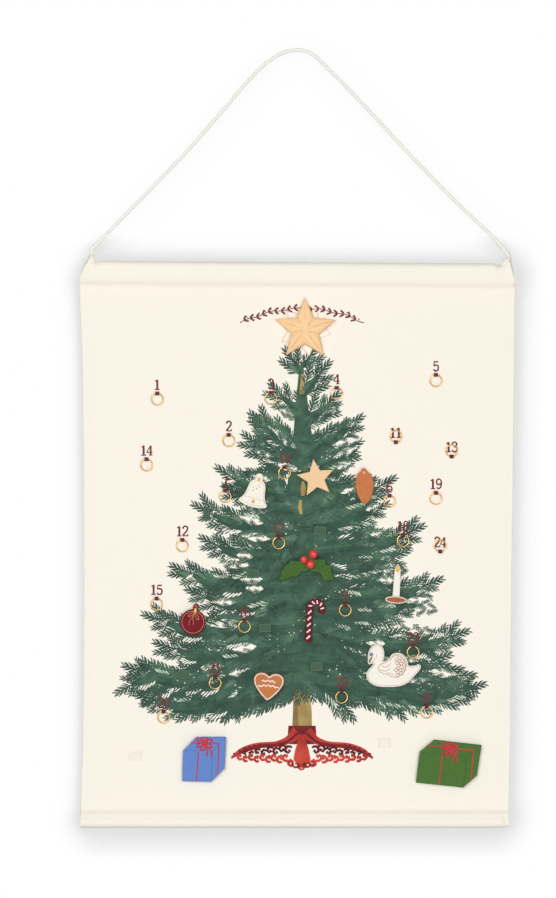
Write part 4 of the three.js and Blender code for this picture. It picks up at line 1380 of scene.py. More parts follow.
def fir_strokes(chance):
    """All that the brush leaves of the boughs, by the ink that it is done in."""
    kinds = ("mass", "shade", "lit", "dark", "middle", "light", "gaps_over", "gaps_under", "holes")
    strokes = {kind: [] for kind in kinds}
    open_places(strokes, chance)
    for line, low in tree_boughs(chance):
        group = int((1 - low) * (bough_groups - 1) + chance.uniform(0, 0.99))
        first = group * group_layers
        dots = evenly(line, dot_step)
        mass = 0.12 * dot_step * (len(dots) - 1) + 10
        body = dots[: max(4, int(0.94 * len(dots)))]
        strokes["mass"].append((body, list(mass * bough_profile), first))
        way = np.gradient(dots, axis=0)
        under = np.stack([way[:, 1], -way[:, 0]], axis=1) / dot_step
        under *= np.sign(-under[:, 1:2] + 1e-6)
        shaded = (dots + under * 0.2 * mass)[: len(body)]
        widths = [0.1, 0.3 * mass, 0.36 * mass, 0.2 * mass, 0.5]
        strokes["shade"].append((shaded, widths, first + 1))
        lit = (dots - under * 0.22 * mass)[: len(body)]
        widths = [0.1, 0.16 * mass, 0.22 * mass, 0.12 * mass, 0.3]
        strokes["lit"].append((lit, widths, first + 1))
        turns = [math.atan2(tz, tx) for tx, tz in way]
        bough_needles(strokes, chance, dots, turns, mass, first)
        bough_gaps(strokes, chance, dots, turns, mass, first)
    return strokes


def make_tree():
    chance = random.Random(24)
    mark = mark_pattern()
    sprig = sprig_pattern(mark, chance)
    gaps_over = gaps_pattern(mark, chance, 1)
    gaps_under = gaps_pattern(mark, chance, -1)
    strokes = fir_strokes(chance)
    # The lowest sprigs hang over the foot of the trunk
    for k, lean in enumerate((-128, -112, -97, -84, -70, -55)):
        x = tree_x + 5 * (k - 2.5)
        strokes["dark"].append((x, -884 - 2 * (k % 3), math.radians(lean), 0.7, 4))
    core = flowing([(tree_x - 1, crown_z - 34), (tree_x + 2, -640), (tree_x, skirt_z + 14)])
    strokes["mass"].append((core, [7, 26, 50, 70, 84, 70], 0))
    brushed("fir_boughs", strokes["mass"], fir_wash)
    brushed("fir_shades", strokes["shade"], fir_shade)
    brushed("fir_lit_sides", strokes["lit"], fir_lit)
    printed("fir_needles_dark", sprig, strokes["dark"], fir_dark)
    printed("fir_needles", sprig, strokes["middle"], fir_middle)
    printed("fir_needles_light", sprig, strokes["light"], fir_light)
    brushed("fir_holes", strokes["holes"], bare_cloth)
    printed("fir_gaps_over", gaps_over, strokes["gaps_over"], bare_cloth)
    printed("fir_gaps_under", gaps_under, strokes["gaps_under"], fir_pale)
    flecks = []
    for _ in range(26):
        low = chance.uniform(0.3, 1.0)
        x = tree_x + chance.uniform(-0.7, 0.7) * reach_at(low)
        z = height_at(low)
        for _ in range(6):
            place = (x + chance.gauss(0, 9), z + chance.gauss(0, 6))
            turn = chance.uniform(0, math.pi)
            flecks.append((*place, turn, chance.uniform(0.8, 2.2), top_layer - 6))
    printed("fir_flecks", mark, flecks, bare_cloth)
    trunk = [
        ([(tree_x, -896), (tree_x + 0.5, -925), (tree_x, -952)], [22, 26, 28], 1),
        ([(tree_x + 1, -452), (tree_x, -482)], [4.5, 7], top_layer - 8),
        ([(tree_x + 1, -604), (tree_x + 2, -612), (tree_x + 1, -624)], [3, 8, 5], top_layer - 16),
        ([(tree_x - 2, -630), (tree_x - 3, -640), (tree_x - 1, -650)], [4, 6, 3], top_layer - 16),
    ]
    brushed("fir_trunk", trunk, trunk_ink)
    shade = [([(tree_x - 9, -912), (tree_x - 9, -951)], [7, 8], 2)]
    brushed("fir_trunk_shade", shade, trunk_shade)
    thrown_away(mark, sprig, gaps_over, gaps_under)


fir_wash = ink_material("fir_wash", (44, 72, 58), (68, 104, 82))
fir_shade = ink_material("fir_shade", (38, 64, 54), (52, 84, 68))
fir_lit = ink_material("fir_lit", (62, 96, 76), (84, 120, 96))
fir_dark = ink_material("fir_dark", (42, 70, 58), (60, 92, 76))
fir_middle = ink_material("fir_middle", (58, 90, 72), (80, 114, 92))
fir_light = ink_material("fir_light", (84, 116, 94), (110, 142, 118))
fir_pale = ink_material("fir_pale", (176, 196, 172), (222, 228, 208))
bare_cloth = ink_material("bare_cloth", (244, 238, 224), (254, 249, 238))
trunk_ink = ink_material("trunk", (150, 124, 72), (184, 158, 100))
trunk_shade = ink_material("trunk_shade", (122, 100, 58), (150, 124, 74))
stand_dark = ink_material("stand_dark", (70, 16, 26), (104, 24, 34))
stand_red = ink_material("stand_red", (166, 46, 38), (212, 76, 60))
stand_maroon = ink_material("stand_maroon", (104, 20, 28), (136, 28, 34))
star_ink = ink_material("star_outline", (222, 196, 176), (236, 214, 196))
make_tree()


def scroll(x, z, size, start, turns, hand):
    """A spiral line that runs out from its eye."""
    line = []
    count = int(18 * turns)
    for k in range(count + 1):
        a = start + hand * 2 * math.pi * turns * k / count
        r = size * (0.16 + 0.84 * k / count)
        line.append((x + r * math.cos(a), z + r * math.sin(a)))
    return line


def make_stand():
    """A cast stand: a collar, two long legs with scrollwork under them, and a foot in front."""
    top = top_layer - 4
    maroon, red, dark = [], [], []
    maroon.append(([(tree_x, -946), (tree_x, -962), (tree_x, -972)], [38, 40, 34], top))
    for side in (-1, 1):
        leg = [(6, -955), (20, -966.5), (38, -972), (62, -974), (84, -981), (99, -991)]
        leg = flowing([(tree_x + side * x, z) for x, z in leg])
        red.append((leg, [18, 11, 8, 8, 9, 8, 3], top + 1))
        maroon.append(([(x, z - 1.4) for x, z in leg], [4, 3, 5, 5.5, 5, 3, 1], top + 2))
        for k in range(8):
            x = 19 + 8.6 * k
            z = -979.5 - 0.11 * (x - 22) + (1.4 if k % 2 else -1.2)
            line = scroll(tree_x + side * x, z, 6.4 - 0.36 * k, math.pi / 2, 1.15, side)
            dark.append((line, [3.0, 4.0, 4.2, 3.0], top + 2))
        for k in range(10):
            x = 15 + 8.0 * k
            z = -991.5 + 0.015 * (x - 50) - (4.5 if k == 0 else 0) + (1.8 if k % 2 else -0.6)
            line = scroll(tree_x + side * x, z, 5.8 - 0.14 * k, -math.pi / 2, 1.1, -side)
            red.append((line, [3.2, 4.2, 4.4, 3.4], top + 3))
        for k in range(9):
            x, z = tree_x + side * (20 + 8.2 * k), -986.5 - 0.02 * (20 + 8.2 * k)
            maroon.append(([(x, z), (x + side * 3.4, z - 1.4)], [2.4, 4.4, 1.6], top + 2))
        for k in range(6):
            x = 58 + 7 * k
            z = float(np.interp(x, [62, 84, 99], [-972.5, -979, -989]))
            bump = [(tree_x + side * x, z), (tree_x + side * (x + 3.6), z - 0.6)]
            maroon.append((bump, [3, 5, 2.4], top + 2))
    foot = [(tree_x, z) for z in (-958, -975, -992, -1005)]
    red.append((foot, [8, 13, 20, 24, 10], top + 3))
    for k, (x, size) in enumerate([(-13, 4.6), (-5.5, 5.4), (2.5, 6), (10.5, 5.2), (17, 4.2)]):
        line = scroll(tree_x + x - 2.5, -1003 + 0.35 * abs(x - 2), size, math.pi, 1.1, -1)
        (maroon if k % 2 else red).append((line, [1.8, 2.8, 2.6], top + 3))
    brushed("stand_maroon", maroon, stand_maroon)
    brushed("stand_red", red, stand_red)
    brushed("stand_dark", dark, stand_dark)


make_stand()


def make_printed_star():
    """The printed star that shows behind the stuffed one, a little turned."""
    middle = middle_of("star_topper_pad")
    x, z = middle.x / MM, middle.z / MM
    turn = math.radians(-27)
    points = [
        (x + a * math.cos(turn) - b * math.sin(turn), z + a * math.sin(turn) + b * math.cos(turn))
        for a, b in star_outline(37, 21)
    ]
    strokes = [([(x, z + 14), (x, z - 14)], [24, 30, 24], top_layer - 3)]
    corners = len(points)
    for k in range(1, corners, 2):
        a, b = points[k - 1], points[(k + 1) % corners]
        base = ((a[0] + b[0]) / 2, (a[1] + b[1]) / 2)
        strokes.append(([base, points[k]], [math.dist(a, b), 0.2], top_layer - 3))
    brushed("printed_star", strokes, bare_cloth)
    sides = zip(points, points[1:] + points[:1])
    outline = [([a, b], [1.3, 1.3], top_layer - 2) for a, b in sides]
    brushed("printed_star_outline", outline, star_ink)


def make_garland():
    """An embroidered garland over the star, in the dark red of the numbers: two leafy stems that
    grow from their ends to the middle, with berries."""
    middle = (tree_x, -560)
    radius = 198
    stem, leaves = [], []
    for k in range(121):
        a = math.radians(90 + 26 - 52 * k / 120)
        r = radius + 1.2 * math.sin(2 * math.pi * k / 24)
        stem.append((middle[0] + r * math.cos(a), middle[1] + r * math.sin(a)))
    for k in range(4, 118, 6):
        x, z = stem[k]
        turn = math.atan2(stem[k + 1][1] - stem[k - 1][1], stem[k + 1][0] - stem[k - 1][0])
        if k > 60:
            turn += math.pi
        for side in (-1, 1):
            lean = turn + side * math.radians(38)
            root = (x + 1.2 * math.cos(lean), z + 1.2 * math.sin(lean))
            tip = (x + 7.4 * math.cos(lean), z + 7.4 * math.sin(lean))
            leaves.append(([root, tip], 2.7))
        x, z = stem[k + 3]
        leaves.append(([(x - 0.9, z + 3.2), (x + 0.9, z + 3.2)], 1.9))
    lines = [(stem, 1.35)] + leaves
    piece = satin_piece("stitched_garland", lines, 1.0, 0.4, on_cloth())
    done(piece, "panel", "canvas", red_thread)


make_printed_star()
make_garland()


def make_cloth_stitches():
    """Rows of machine stitches along the side hems and under both sleeves, front and back."""
    rows = []
    for side in (-1, 1):
        heights = np.linspace(flat_top - 4, flat_foot + 6, 120)
        rows.append([(side_edge(side, z) - side * (hem_width - 1.8), z) for z in heights])
    for z0, slope in ((flat_top + 4.5, top_slant), (flat_foot - 2.6, 0)):
        row = np.linspace(-half_width + 9, half_width - 9, 60)
        rows.append([(x, z0 - slope * x / (2 * half_width)) for x in row])
    front = stitches("front_seams", rows, 3.4, 2.5, 0.4, 0.26, on_cloth(-0.06))
    done(front, "panel", "canvas", cream_thread)

    def behind(x, z):
        over_hem = 1.2 if abs(x) > 270 else 0.0
        return cloth / 2 + float(cloth_swell(x, z)) + over_hem

    back = stitches("back_seams", rows, 3.4, 2.5, 0.4, 0.26, behind)
    done(back, "panel", "canvas", cream_thread)


make_cloth_stitches()

# Thread tacks and rings

wire = 0.9  # half the thickness of the ring's wire
ring_reach = 8.1  # radius of the wire's own middle line
pivot_y = -1.8
tack_width = 5.4
tack_strands = 7
strand = 0.5


def tack_pattern():
    """Seven threads side by side, out of the cloth, round the wire and back into the cloth."""
    high = wire + 0.85 + strand * 0.9
    piece = settled(added(
        "tack", bpy.ops.mesh.primitive_circle_add, vertices=8, radius=strand * MM,
        location=(0, 0, high * MM), rotation=(math.pi / 2, 0, 0),
    ))
    bpy.ops.object.mode_set(mode="EDIT")
    bpy.ops.mesh.select_all(action="SELECT")
    bpy.ops.mesh.extrude_region_move(TRANSFORM_OT_translate={"value": (0, 1.6 * MM, 0)})
    bpy.ops.object.mode_set(mode="OBJECT")
    bm = bmesh.new()
    bm.from_mesh(piece.data)
    rim = [e for e in bm.edges if all(abs(v.co.y) < 1e-6 for v in e.verts)]
    bmesh.ops.spin(
        bm, geom=rim, cent=(0, 0, 0), axis=(1, 0, 0), angle=math.pi, steps=9, use_duplicate=False
    )
    bm.to_mesh(piece.data)
    bm.free()
    return piece


def tacks():
    one = tack_pattern()
    places = []
    chance = random.Random(5)
    for day in ring_days:
        middle = ring_middles[day]
        up = -1 if day in turned_up else 1
        pivot = Vector((middle.x, pivot_y * MM, middle.z + up * ring_reach * MM))
        for k in range(tack_strands):
            x = (k - tack_strands // 2) * tack_width / tack_strands
            grown = Matrix.Scale(1 + 0.05 * chance.uniform(-1, 1), 4)
            turned = Matrix.Rotation(math.radians(chance.uniform(-3, 3)), 4, "Y")
            places.append(Matrix.Translation(pivot) @ shift(x, 0, 0) @ turned @ grown)
    piece = copies("thread_tacks", one, places)
    thrown_away(one)
    return outward(piece)


done(tacks(), "panel", "canvas", red_thread)


def ring_pattern():
    """A brass jump ring: wire bent round until its ends meet."""
    piece = settled(added(
        "ring", bpy.ops.mesh.primitive_circle_add, vertices=16, radius=wire * MM,
        fill_type="NGON", location=(ring_reach * MM, 0, 0),
    ))
    gap = math.radians(1.2)
    bm = bmesh.new()
    bm.from_mesh(piece.data)
    bmesh.ops.spin(
        bm, geom=bm.faces[:] + bm.edges[:], cent=(0, 0, 0), axis=(0, 1, 0),
        angle=2 * math.pi - gap, steps=80, use_duplicate=False,
    )
    bmesh.ops.recalc_face_normals(bm, faces=bm.faces)
    bm.to_mesh(piece.data)
    bm.free()
    return smooth(piece, 50)


def make_rings():
    one = ring_pattern()
    chance = random.Random(3)
    for day in ring_days:
        middle = ring_middles[day]
        lean = math.radians(-0.7) if day in turned_up else 0
        seam = Matrix.Rotation(chance.uniform(0.2, 1.2) * math.pi, 4, "Y")
        place = Matrix.Translation(middle) @ Matrix.Rotation(lean, 4, "X") @ seam
        ring = copy_of(one, f"brass_ring_{day:02d}", place)
        done(ring, f"ring_{day:02d}", "brass", brass_material, f"day_ring_{day:02d}")
    thrown_away(one)


make_rings()
print("made the panel and rings")

# Felt ornaments

felt = 4
thin_felt = 1.6
voxel = 0.6


def stands_at(name, pad_offset, tilt):
    """The ornament's own frame, in millimetres: its back on its hook pad, turned to the right."""
    turn = Matrix.Rotation(math.radians(tilt), 4, "Y")
    middle = middle_of(f"{name}_pad")
    offset = turn @ Vector((pad_offset[0] * MM, 0, pad_offset[1] * MM))
    at = Vector((middle.x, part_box(f"{name}_pad")[0].y, middle.z)) - offset
    return Matrix.Translation(at) @ turn


def felt_shape(name, outline, thickness, edge, rim, voxel, top=None):
    """A flat outline cut from felt. Its back is flat at y 0, its front rises from a rim to top,
    which gives the height for a place and its distance to the outline."""
    drawn = evenly(outline, 0.9, loop=True)
    flat = bpy.ops.mesh.primitive_circle_add
    piece = added(name, flat, vertices=len(drawn), radius=MM, fill_type="NGON")
    set_points(piece, [(x * MM, 0, z * MM) for x, z in drawn])
    bpy.ops.object.mode_set(mode="EDIT")
    bpy.ops.mesh.select_all(action="SELECT")
    bpy.ops.mesh.extrude_region_move(TRANSFORM_OT_translate={"value": (0, -thickness * MM, 0)})
    bpy.ops.mesh.select_all(action="SELECT")
    bpy.ops.mesh.normals_make_consistent(inside=False)
    bpy.ops.object.mode_set(mode="OBJECT")
    shaped(piece, "REMESH", mode="VOXEL", voxel_size=voxel * MM, adaptivity=0)
    border = nearest(evenly(outline, 0.25, loop=True))
    points = points_of(piece) / MM
    for point in points:
        x, y, z = point
        near = border.find((x, 0, z))[2]
        share = min(max(-y / thickness, 0), 1)
        rise = math.sqrt(1 - (1 - min(near / edge, 1)) ** 2)
        full = thickness if top is None else top(x, z, near)
        point[1] = -share * (rim + (full - rim) * rise)
    set_points(piece, points * MM)
    return smooth(piece, 60)


def hook_pad(name):
    """The square of hook tape on the back of an ornament."""
    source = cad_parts[f"{name}_pad"].data.copy()
    piece = bpy.data.objects.new(f"{name}_hook_tape", source)
    bpy.context.collection.objects.link(piece)
    outward(piece)
    shaped(piece, "BEVEL", width=0.12 * MM, segments=2, limit_method="ANGLE")
    done(smooth(piece), name, "hook_pad", hook_white, f"{name}_pad")


# Where each ornament's pad is in its own frame, and how far it is turned, in degrees
ornament_facts = {
    "star_topper": ((0, 0), 0.5),
    "bell": ((0, 2), 15),
    "flat_star": ((0, 0), -8),
    "pine_cone": ((0, 0), -2),
    "holly": ((0, -1), 0),
    "candle": ((0, -6), 3.5),
    "candy_cane": ((-4.1, -4), 3),
    "bauble": ((0, 0), 12),
    "gingerbread_heart": ((0, 1), 5),
    "swan": ((-3, -10), 0),
    "blue_gift": ((0, 0), 0),
    "green_gift": ((0, 0), 0),
}
at_ornament = {name: stands_at(name, *facts) for name, facts in ornament_facts.items()}


def cut_felt(piece_name, body, outline, finish, slot, nodes, level=0.0, thickness=felt,
             edge=0.8, rim=None, top=None, fine=1.0):
    rim = 0.6 * thickness if rim is None else rim
    piece = felt_shape(piece_name, outline, thickness, edge, rim, voxel * fine, top)
    piece.data.transform(shift(0, -level, 0))
    piece.data.transform(at_ornament[body])
    return done(piece, body, slot, finish, *nodes)


def sew(piece_name, body, lines, pitch, length, width, thread, slot, front=-felt, high=0.5):
    piece = stitches(piece_name, lines, pitch, length, width, high, front, at_ornament[body])
    done(piece, body, slot, thread)


def embroider(piece_name, body, lines, high, thread, slot, front=-felt, loop=False):
    piece = satin_piece(piece_name, lines, 1.0, high, front, at_ornament[body], loop)
    done(piece, body, slot, thread)


def looped(line):
    return list(line) + [line[0]]


# Star topper: ten stuffed panels between seams

topper_tip, topper_notch = 45, 20.5
topper_rim, topper_seam, topper_crown = 2.6, 5.6, 8.2


def topper_top(x, z, near):
    """The height of a stuffed panel, from how near the place is to its three corners."""
    a = math.atan2(x, z) % (2 * math.pi)
    panel = int(a / (math.pi / 5)) % 10
    corners = []
    for k in (panel, panel + 1):
        r = topper_notch if k % 2 else topper_tip
        corners.append((r * math.sin(k * math.pi / 5), r * math.cos(k * math.pi / 5)))
    (ax, az), (bx, bz) = corners
    area = ax * bz - bx * az
    wa = (x * bz - bx * z) / area
    wb = (ax * z - x * az) / area
    wc = max(0.0, 1 - wa - wb)
    wa, wb = max(wa, 0.0), max(wb, 0.0)
    base = topper_seam * wc + topper_rim * (wa + wb)
    bulge = (27 * wa * wb * wc) ** 0.42
    return max(base + (topper_crown - 3.6) * bulge, 0.4)


def make_star_topper():
    star = cut_felt(
        "stuffed_star", "star_topper", star_outline(topper_tip, topper_notch), peach_felt,
        "peach_felt", ("star_topper",), thickness=topper_crown, edge=0.9, rim=1.4, top=topper_top,
    )
    seams = []
    for k, r in enumerate((topper_tip, topper_notch) * 5):
        way = np.array((math.sin(k * math.pi / 5), math.cos(k * math.pi / 5)))
        seams.append([0.6 * way, 0.93 * r * way])
    sew("star_topper_seams", "star_topper", seams, 1.9, 1.7, 0.5, gold_thread, "peach_felt",
        lambda x, z: -topper_top(x, z, 5) - 0.02, high=0.4)
    outline = star_outline(topper_tip - 3.4, topper_notch - 1.4)
    sew("star_topper_edge", "star_topper", [looped(outline)], 1.9, 1.7, 0.5, gold_thread,
        "peach_felt", lambda x, z: -topper_top(x, z, 2) - 0.02, high=0.4)
    hook_pad("star_topper")


make_star_topper()


def round_patch(x, z, radius):
    """Side by side threads that fill a small round patch."""
    rows = []
    for share in (-0.66, 0, 0.66):
        half = 0.86 * radius * math.sqrt(1 - share * share)
        row = [(x + side * half, z + share * radius) for side in (-1, 1)]
        rows.append((row, 0.72 * radius))
    return rows


def make_bell():
    line = Outline(-19, -19).bow(0, -26, 19, -19).bow(21.5, -16, 19, -13.5)
    line.sweep(11.5, -6, 14, 6, 10.5, 12).bow(8.5, 15.5, 5, 17).bow(6, 26, 0, 26)
    line.bow(-6, 26, -5, 17).bow(-8.5, 15.5, -10.5, 12)
    line.sweep(-14, 6, -11.5, -6, -19, -13.5).bow(-21.5, -16, -19, -19)
    outline = line.closed()
    cut_felt("bell_felt", "bell", outline, white_felt, "white_felt", ("bell",))
    body_line = Outline(-16.8, -16.2).bow(0, -22.6, 16.8, -16.2).bow(18, -14.8, 16.8, -13.2)
    body_line.sweep(9.4, -6, 12, 6, 8.6, 11.2).bow(6, 14.4, 0, 14.8).bow(-6, 14.4, -8.6, 11.2)
    body_line.sweep(-12, 6, -9.4, -6, -16.8, -13.2).bow(-18, -14.8, -16.8, -16.2)
    band = [(x, -9.3 - 0.006 * x * x) for x in np.linspace(-13.4, 13.4, 20)]
    sew("bell_outline", "bell", [looped(body_line.closed()), band], 1.5, 1.45, 0.95,
        pale_gold_thread, "white_felt")
    knob = round_patch(0, 17.6, 2.6)
    dot = round_patch(0, -14.4, 2.7)
    flecks = [([(-5.2, 1.5), (-3.2, 0.2)], 1.6), ([(-1.0, 4.8), (0.9, 3.4)], 1.6),
              ([(3.2, 8.4), (4.6, 6.8)], 1.4), ([(-5.6, 5.6), (-4.2, 4.6)], 1.2),
              ([(0.4, 9.6), (1.6, 8.6)], 1.2)]
    embroider("bell_gold", "bell", knob + dot + flecks, 0.6, gold_thread, "white_felt")
    hook_pad("bell")


make_bell()


def make_flat_star():
    cut_felt("small_star_felt", "flat_star", star_outline(27.5, 12.6), tan_felt, "tan_felt",
             ("flat_star",))
    hook_pad("flat_star")


make_flat_star()


def make_pine_cone():
    line = Outline(0, -25.5).sweep(7, -24, 12.8, -8, 12.8, 2).sweep(12.8, 12, 9.5, 18.5, 4.5, 20.5)
    line.sweep(3.5, 23, 2.5, 25.5, 0, 25.5).sweep(-2.5, 25.5, -3.5, 23, -4.5, 20.5)
    line.sweep(-9.5, 18.5, -12.8, 12, -12.8, 2).sweep(-12.8, -8, -7, -24, 0, -25.5)
    cut_felt("cone_felt", "pine_cone", line.closed(), cone_felt, "brown_felt", ("pine_cone",))
    tip = [([(0, 17.2), (0, 20.6)], 3.4)]
    embroider("cone_gold", "pine_cone", tip, 0.9, gold_thread, "brown_felt")
    hook_pad("pine_cone")


make_pine_cone()


def berry(name, body, x, z, radius, node):
    """A felt ball sewn down on its flat side."""
    ball = bpy.ops.mesh.primitive_uv_sphere_add
    piece = added(name, ball, segments=32, ring_count=20, radius=radius * MM)
    points = points_of(piece)
    points[:, 1] = np.minimum(points[:, 1], 0.5 * radius * MM)
    points[:, 2] += 0.03 * radius * MM * np.sin(points[:, 0] * 900 + points[:, 2] * 700)
    points[:, 1] -= 0.5 * radius * MM
    set_points(piece, points)
    piece.data.shade_smooth()
    piece.data.transform(shift(x, -felt, z))
    piece.data.transform(at_ornament[body])
    done(piece, body, "berry", berry_felt, node)


def make_holly():
    line = Outline(0, 9.5).bow(1, 15.5, 5.6, 15.5).bow(10.5, 15, 9, 4).bow(14, 6.5, 23, 4.5)
    line.bow(21.5, 0, 26.5, -3.5).bow(28, -1.5, 31, -2.5).bow(30, -12, 36, -24.5)
    line.bow(32, -24.5, 29, -23.5).bow(22, -27, 18.5, -22).bow(18, -15, 10.5, -12)
    line.bow(5, -14, 0, -9).bow(-4, -13, -10.5, -11.5).bow(-16, -21, -25, -19)
    line.bow(-29, -21, -33, -23).bow(-38, -25, -43.5, -23.5).bow(-37, -17, -40.5, -11.5)
    line.bow(-34, -9, -33.5, -2.5).bow(-28.5, -3, -26, 4).bow(-17, 1, -9, 4.5)
    line.bow(-5, 9.5, 0, 9.5)
    cut_felt("holly_leaf_felt", "holly", line.closed(), leaf_felt, "green_felt", ("holly_leaves",))
    for k, (x, z, radius) in enumerate([(5.6, 12.6, 6.1), (-7.3, 5.2, 5.2), (1.8, -1.8, 6)], 1):
        berry(f"berry_ball_{k}", "holly", x, z, radius, f"holly_berry_{k}")
    veins = [flowing([(-9, 1), (-20, -5), (-31, -13), (-39, -21)]),
             flowing([(11, -1), (20, -6), (28, -13), (33.5, -21)])]
    sew("holly_veins", "holly", veins, 2.6, 2.3, 0.55, deep_green_thread, "green_felt")
    hook_pad("holly")


make_holly()


def make_candle():
    stick = Outline(-5.2, -19).line(5.2, -19).line(4.4, 18).sweep(4.4, 23, 2, 27.5, 0, 30)
    stick.sweep(-2, 27.5, -4.4, 23, -4.4, 18)
    cut_felt("candle_felt", "candle", stick.closed(), white_felt, "white_felt", ("candle",))
    flame = Outline(0, 18.6).sweep(3.4, 18.6, 3.4, 23.5, 0, 28.6)
    flame.sweep(-3.4, 23.5, -3.4, 18.6, 0, 18.6)
    cut_felt("flame_felt", "candle", flame.closed(), flame_felt, "flame", ("candle_flame",),
             level=felt, thickness=thin_felt, edge=0.6, fine=0.6)
    dish = Outline(15.4, -20.5).arc(0, -20.5, 15.4, 0, 2 * math.pi, tall=5.3).closed()
    cut_felt("dish_felt", "candle", dish, dish_felt, "brown_felt", ("candle_dish",),
             level=felt, thickness=thin_felt, edge=0.6, fine=0.7)
    rim = Outline(14.3, -20.5).arc(0, -20.5, 14.3, 0, 2 * math.pi, tall=4.3).closed()
    embroider("dish_rim", "candle", [(rim, 1.5)], 0.6, icing_thread, "brown_felt", -felt - 1.5,
              loop=True)
    wick = [([(0, 18.8), (0, 22)], 0.9)]
    embroider("candle_wick", "candle", wick, 0.4, beak_thread, "flame", -felt - 1.55)
    glaze = [flowing([(-9, -20.6), (-4, -19.4), (1, -20.8), (6, -19.8), (10, -20.6)])]
    sew("dish_line", "candle", glaze, 1.6, 1.5, 0.5, terracotta_thread, "brown_felt",
        -felt - thin_felt)
    hook_pad("candle")


make_candle()


cane_bend = (4.6, 18.5)  # the middle of its hook
cane_reach = 8.7  # from there to the middle of the felt


def cane_outline():
    """A straight leg and a hook, with round ends."""
    cap, foot_z = 4.3, -26
    outer, inner = cane_reach + cap, cane_reach - cap
    hook_x, hook_z = cane_bend
    end = -0.12 * math.pi
    line = Outline(hook_x - outer, hook_z).line(hook_x - outer, foot_z)
    line.arc(hook_x - cane_reach, foot_z, cap, math.pi, 2 * math.pi).line(hook_x - inner, hook_z)
    line.arc(hook_x, hook_z, inner, math.pi, end)
    end_x, end_z = hook_x + cane_reach * math.cos(end), hook_z + cane_reach * math.sin(end)
    line.arc(end_x, end_z, cap, math.pi + end, 2 * math.pi + end)
    line.arc(hook_x, hook_z, outer, end, math.pi)
    return line.closed()


def cane_front(x, z):
    """How far in front of its back the felt of the padded cane is, highest along its middle."""
    if z < cane_bend[1] and x < cane_bend[0]:
        off = abs(x - cane_bend[0] + cane_reach)
    else:
        off = abs(math.hypot(x - cane_bend[0], z - cane_bend[1]) - cane_reach)
    return -5.65 + 0.13 * off * off


def make_candy_cane():
    cane = cut_felt("cane_felt", "candy_cane", cane_outline(), dark_red_felt, "dark_red_felt",
                    ("candy_cane",), thickness=5.5, edge=4.1, rim=1.6)
    leg = [-22.5 + 8.8 * k for k in range(5)]
    stripes = [([(-6.6, z - 2.5), (-1.7, z + 2.5)], 2.3) for z in leg]
    for a in (160, 118, 82, 42, 2):
        w = math.radians(a)
        x = cane_bend[0] + cane_reach * math.cos(w)
        z = cane_bend[1] + cane_reach * math.sin(w)
        dx, dz = 2.8 * math.cos(w + 0.35), 2.8 * math.sin(w + 0.35)
        stripes.append(([(x - dx, z - dz), (x + dx, z + dz)], 2.1))
    embroider("cane_stripes", "candy_cane", stripes, 0.55, white_thread, "dark_red_felt",
              cane_front)
    hook_pad("candy_cane")


make_candy_cane()


def make_bauble():
    radius, neck, loop = 17.8, 0.21, 9
    neck_x, neck_z = radius * math.sin(neck), radius * math.cos(neck)
    line = Outline(-neck_x, neck_z)
    line.arc(0, 0, radius, math.pi / 2 + neck, math.pi / 2 - neck + 2 * math.pi)
    line.sweep(neck_x, neck_z + 2, 5.2, neck_z + loop, 0, neck_z + loop)
    line.sweep(-5.2, neck_z + loop, -neck_x, neck_z + 2, -neck_x, neck_z)
    ball = cut_felt("bauble_felt", "bauble", line.closed(), dark_red_felt, "dark_red_felt",
                    ("bauble",), thickness=5, edge=2.6, rim=2)
    inner = Outline(15.3, 0).arc(0, 0, 15.3, 0, 2 * math.pi).closed()
    left_loop = [(0, 13.6), (-3.4, 12.6), (-7.4, 9.6), (-8.0, 6.8), (-5.2, 7.2), (-1.6, 11)]
    right_loop = [(0, 13.6), (3.4, 11.6), (7.2, 7.0), (6.8, 4.4), (3.8, 6.0), (1.4, 10.4)]
    bow = [
        looped(flowing(left_loop, loop=True)),
        looped(flowing(right_loop, loop=True)),
        flowing([(-0.4, 12.4), (-1.8, 7), (-4.6, 1.5), (-4.4, -5.4)]),
        flowing([(0.2, 12.4), (-1.2, 6), (0.8, 0.5), (1.2, -4.0)]),
    ]
    sew("bauble_ring_stitches", "bauble", [looped(inner)], 1.5, 1.6, 1.1, copper_thread,
        "dark_red_felt", -5.0, high=0.6)
    eye = Outline(1.6, neck_z + 5.4).arc(0, neck_z + 5.4, 1.6, 0, 2 * math.pi).closed()
    sew("bauble_bow", "bauble", bow + [looped(eye)], 1.3, 1.5, 1.0, copper_thread,
        "dark_red_felt", -5.0, high=0.6)
    cap = [([(0, 13.8), (0, 19.6)], 4.0)]
    embroider("bauble_cap", "bauble", cap, 0.7, gold_thread, "dark_red_felt", -4.9)
    hook_pad("bauble")


make_bauble()


def heart_line():
    line = Outline(0, -20).sweep(4, -19, 21.5, -2, 21.5, 8).sweep(21.5, 16, 15, 19, 10, 19)
    line.sweep(5, 19, 2, 16.5, 0, 14.5).sweep(-2, 16.5, -5, 19, -10, 19)
    line.sweep(-15, 19, -21.5, 16, -21.5, 8).sweep(-21.5, -2, -4, -19, 0, -20)
    return line.closed()


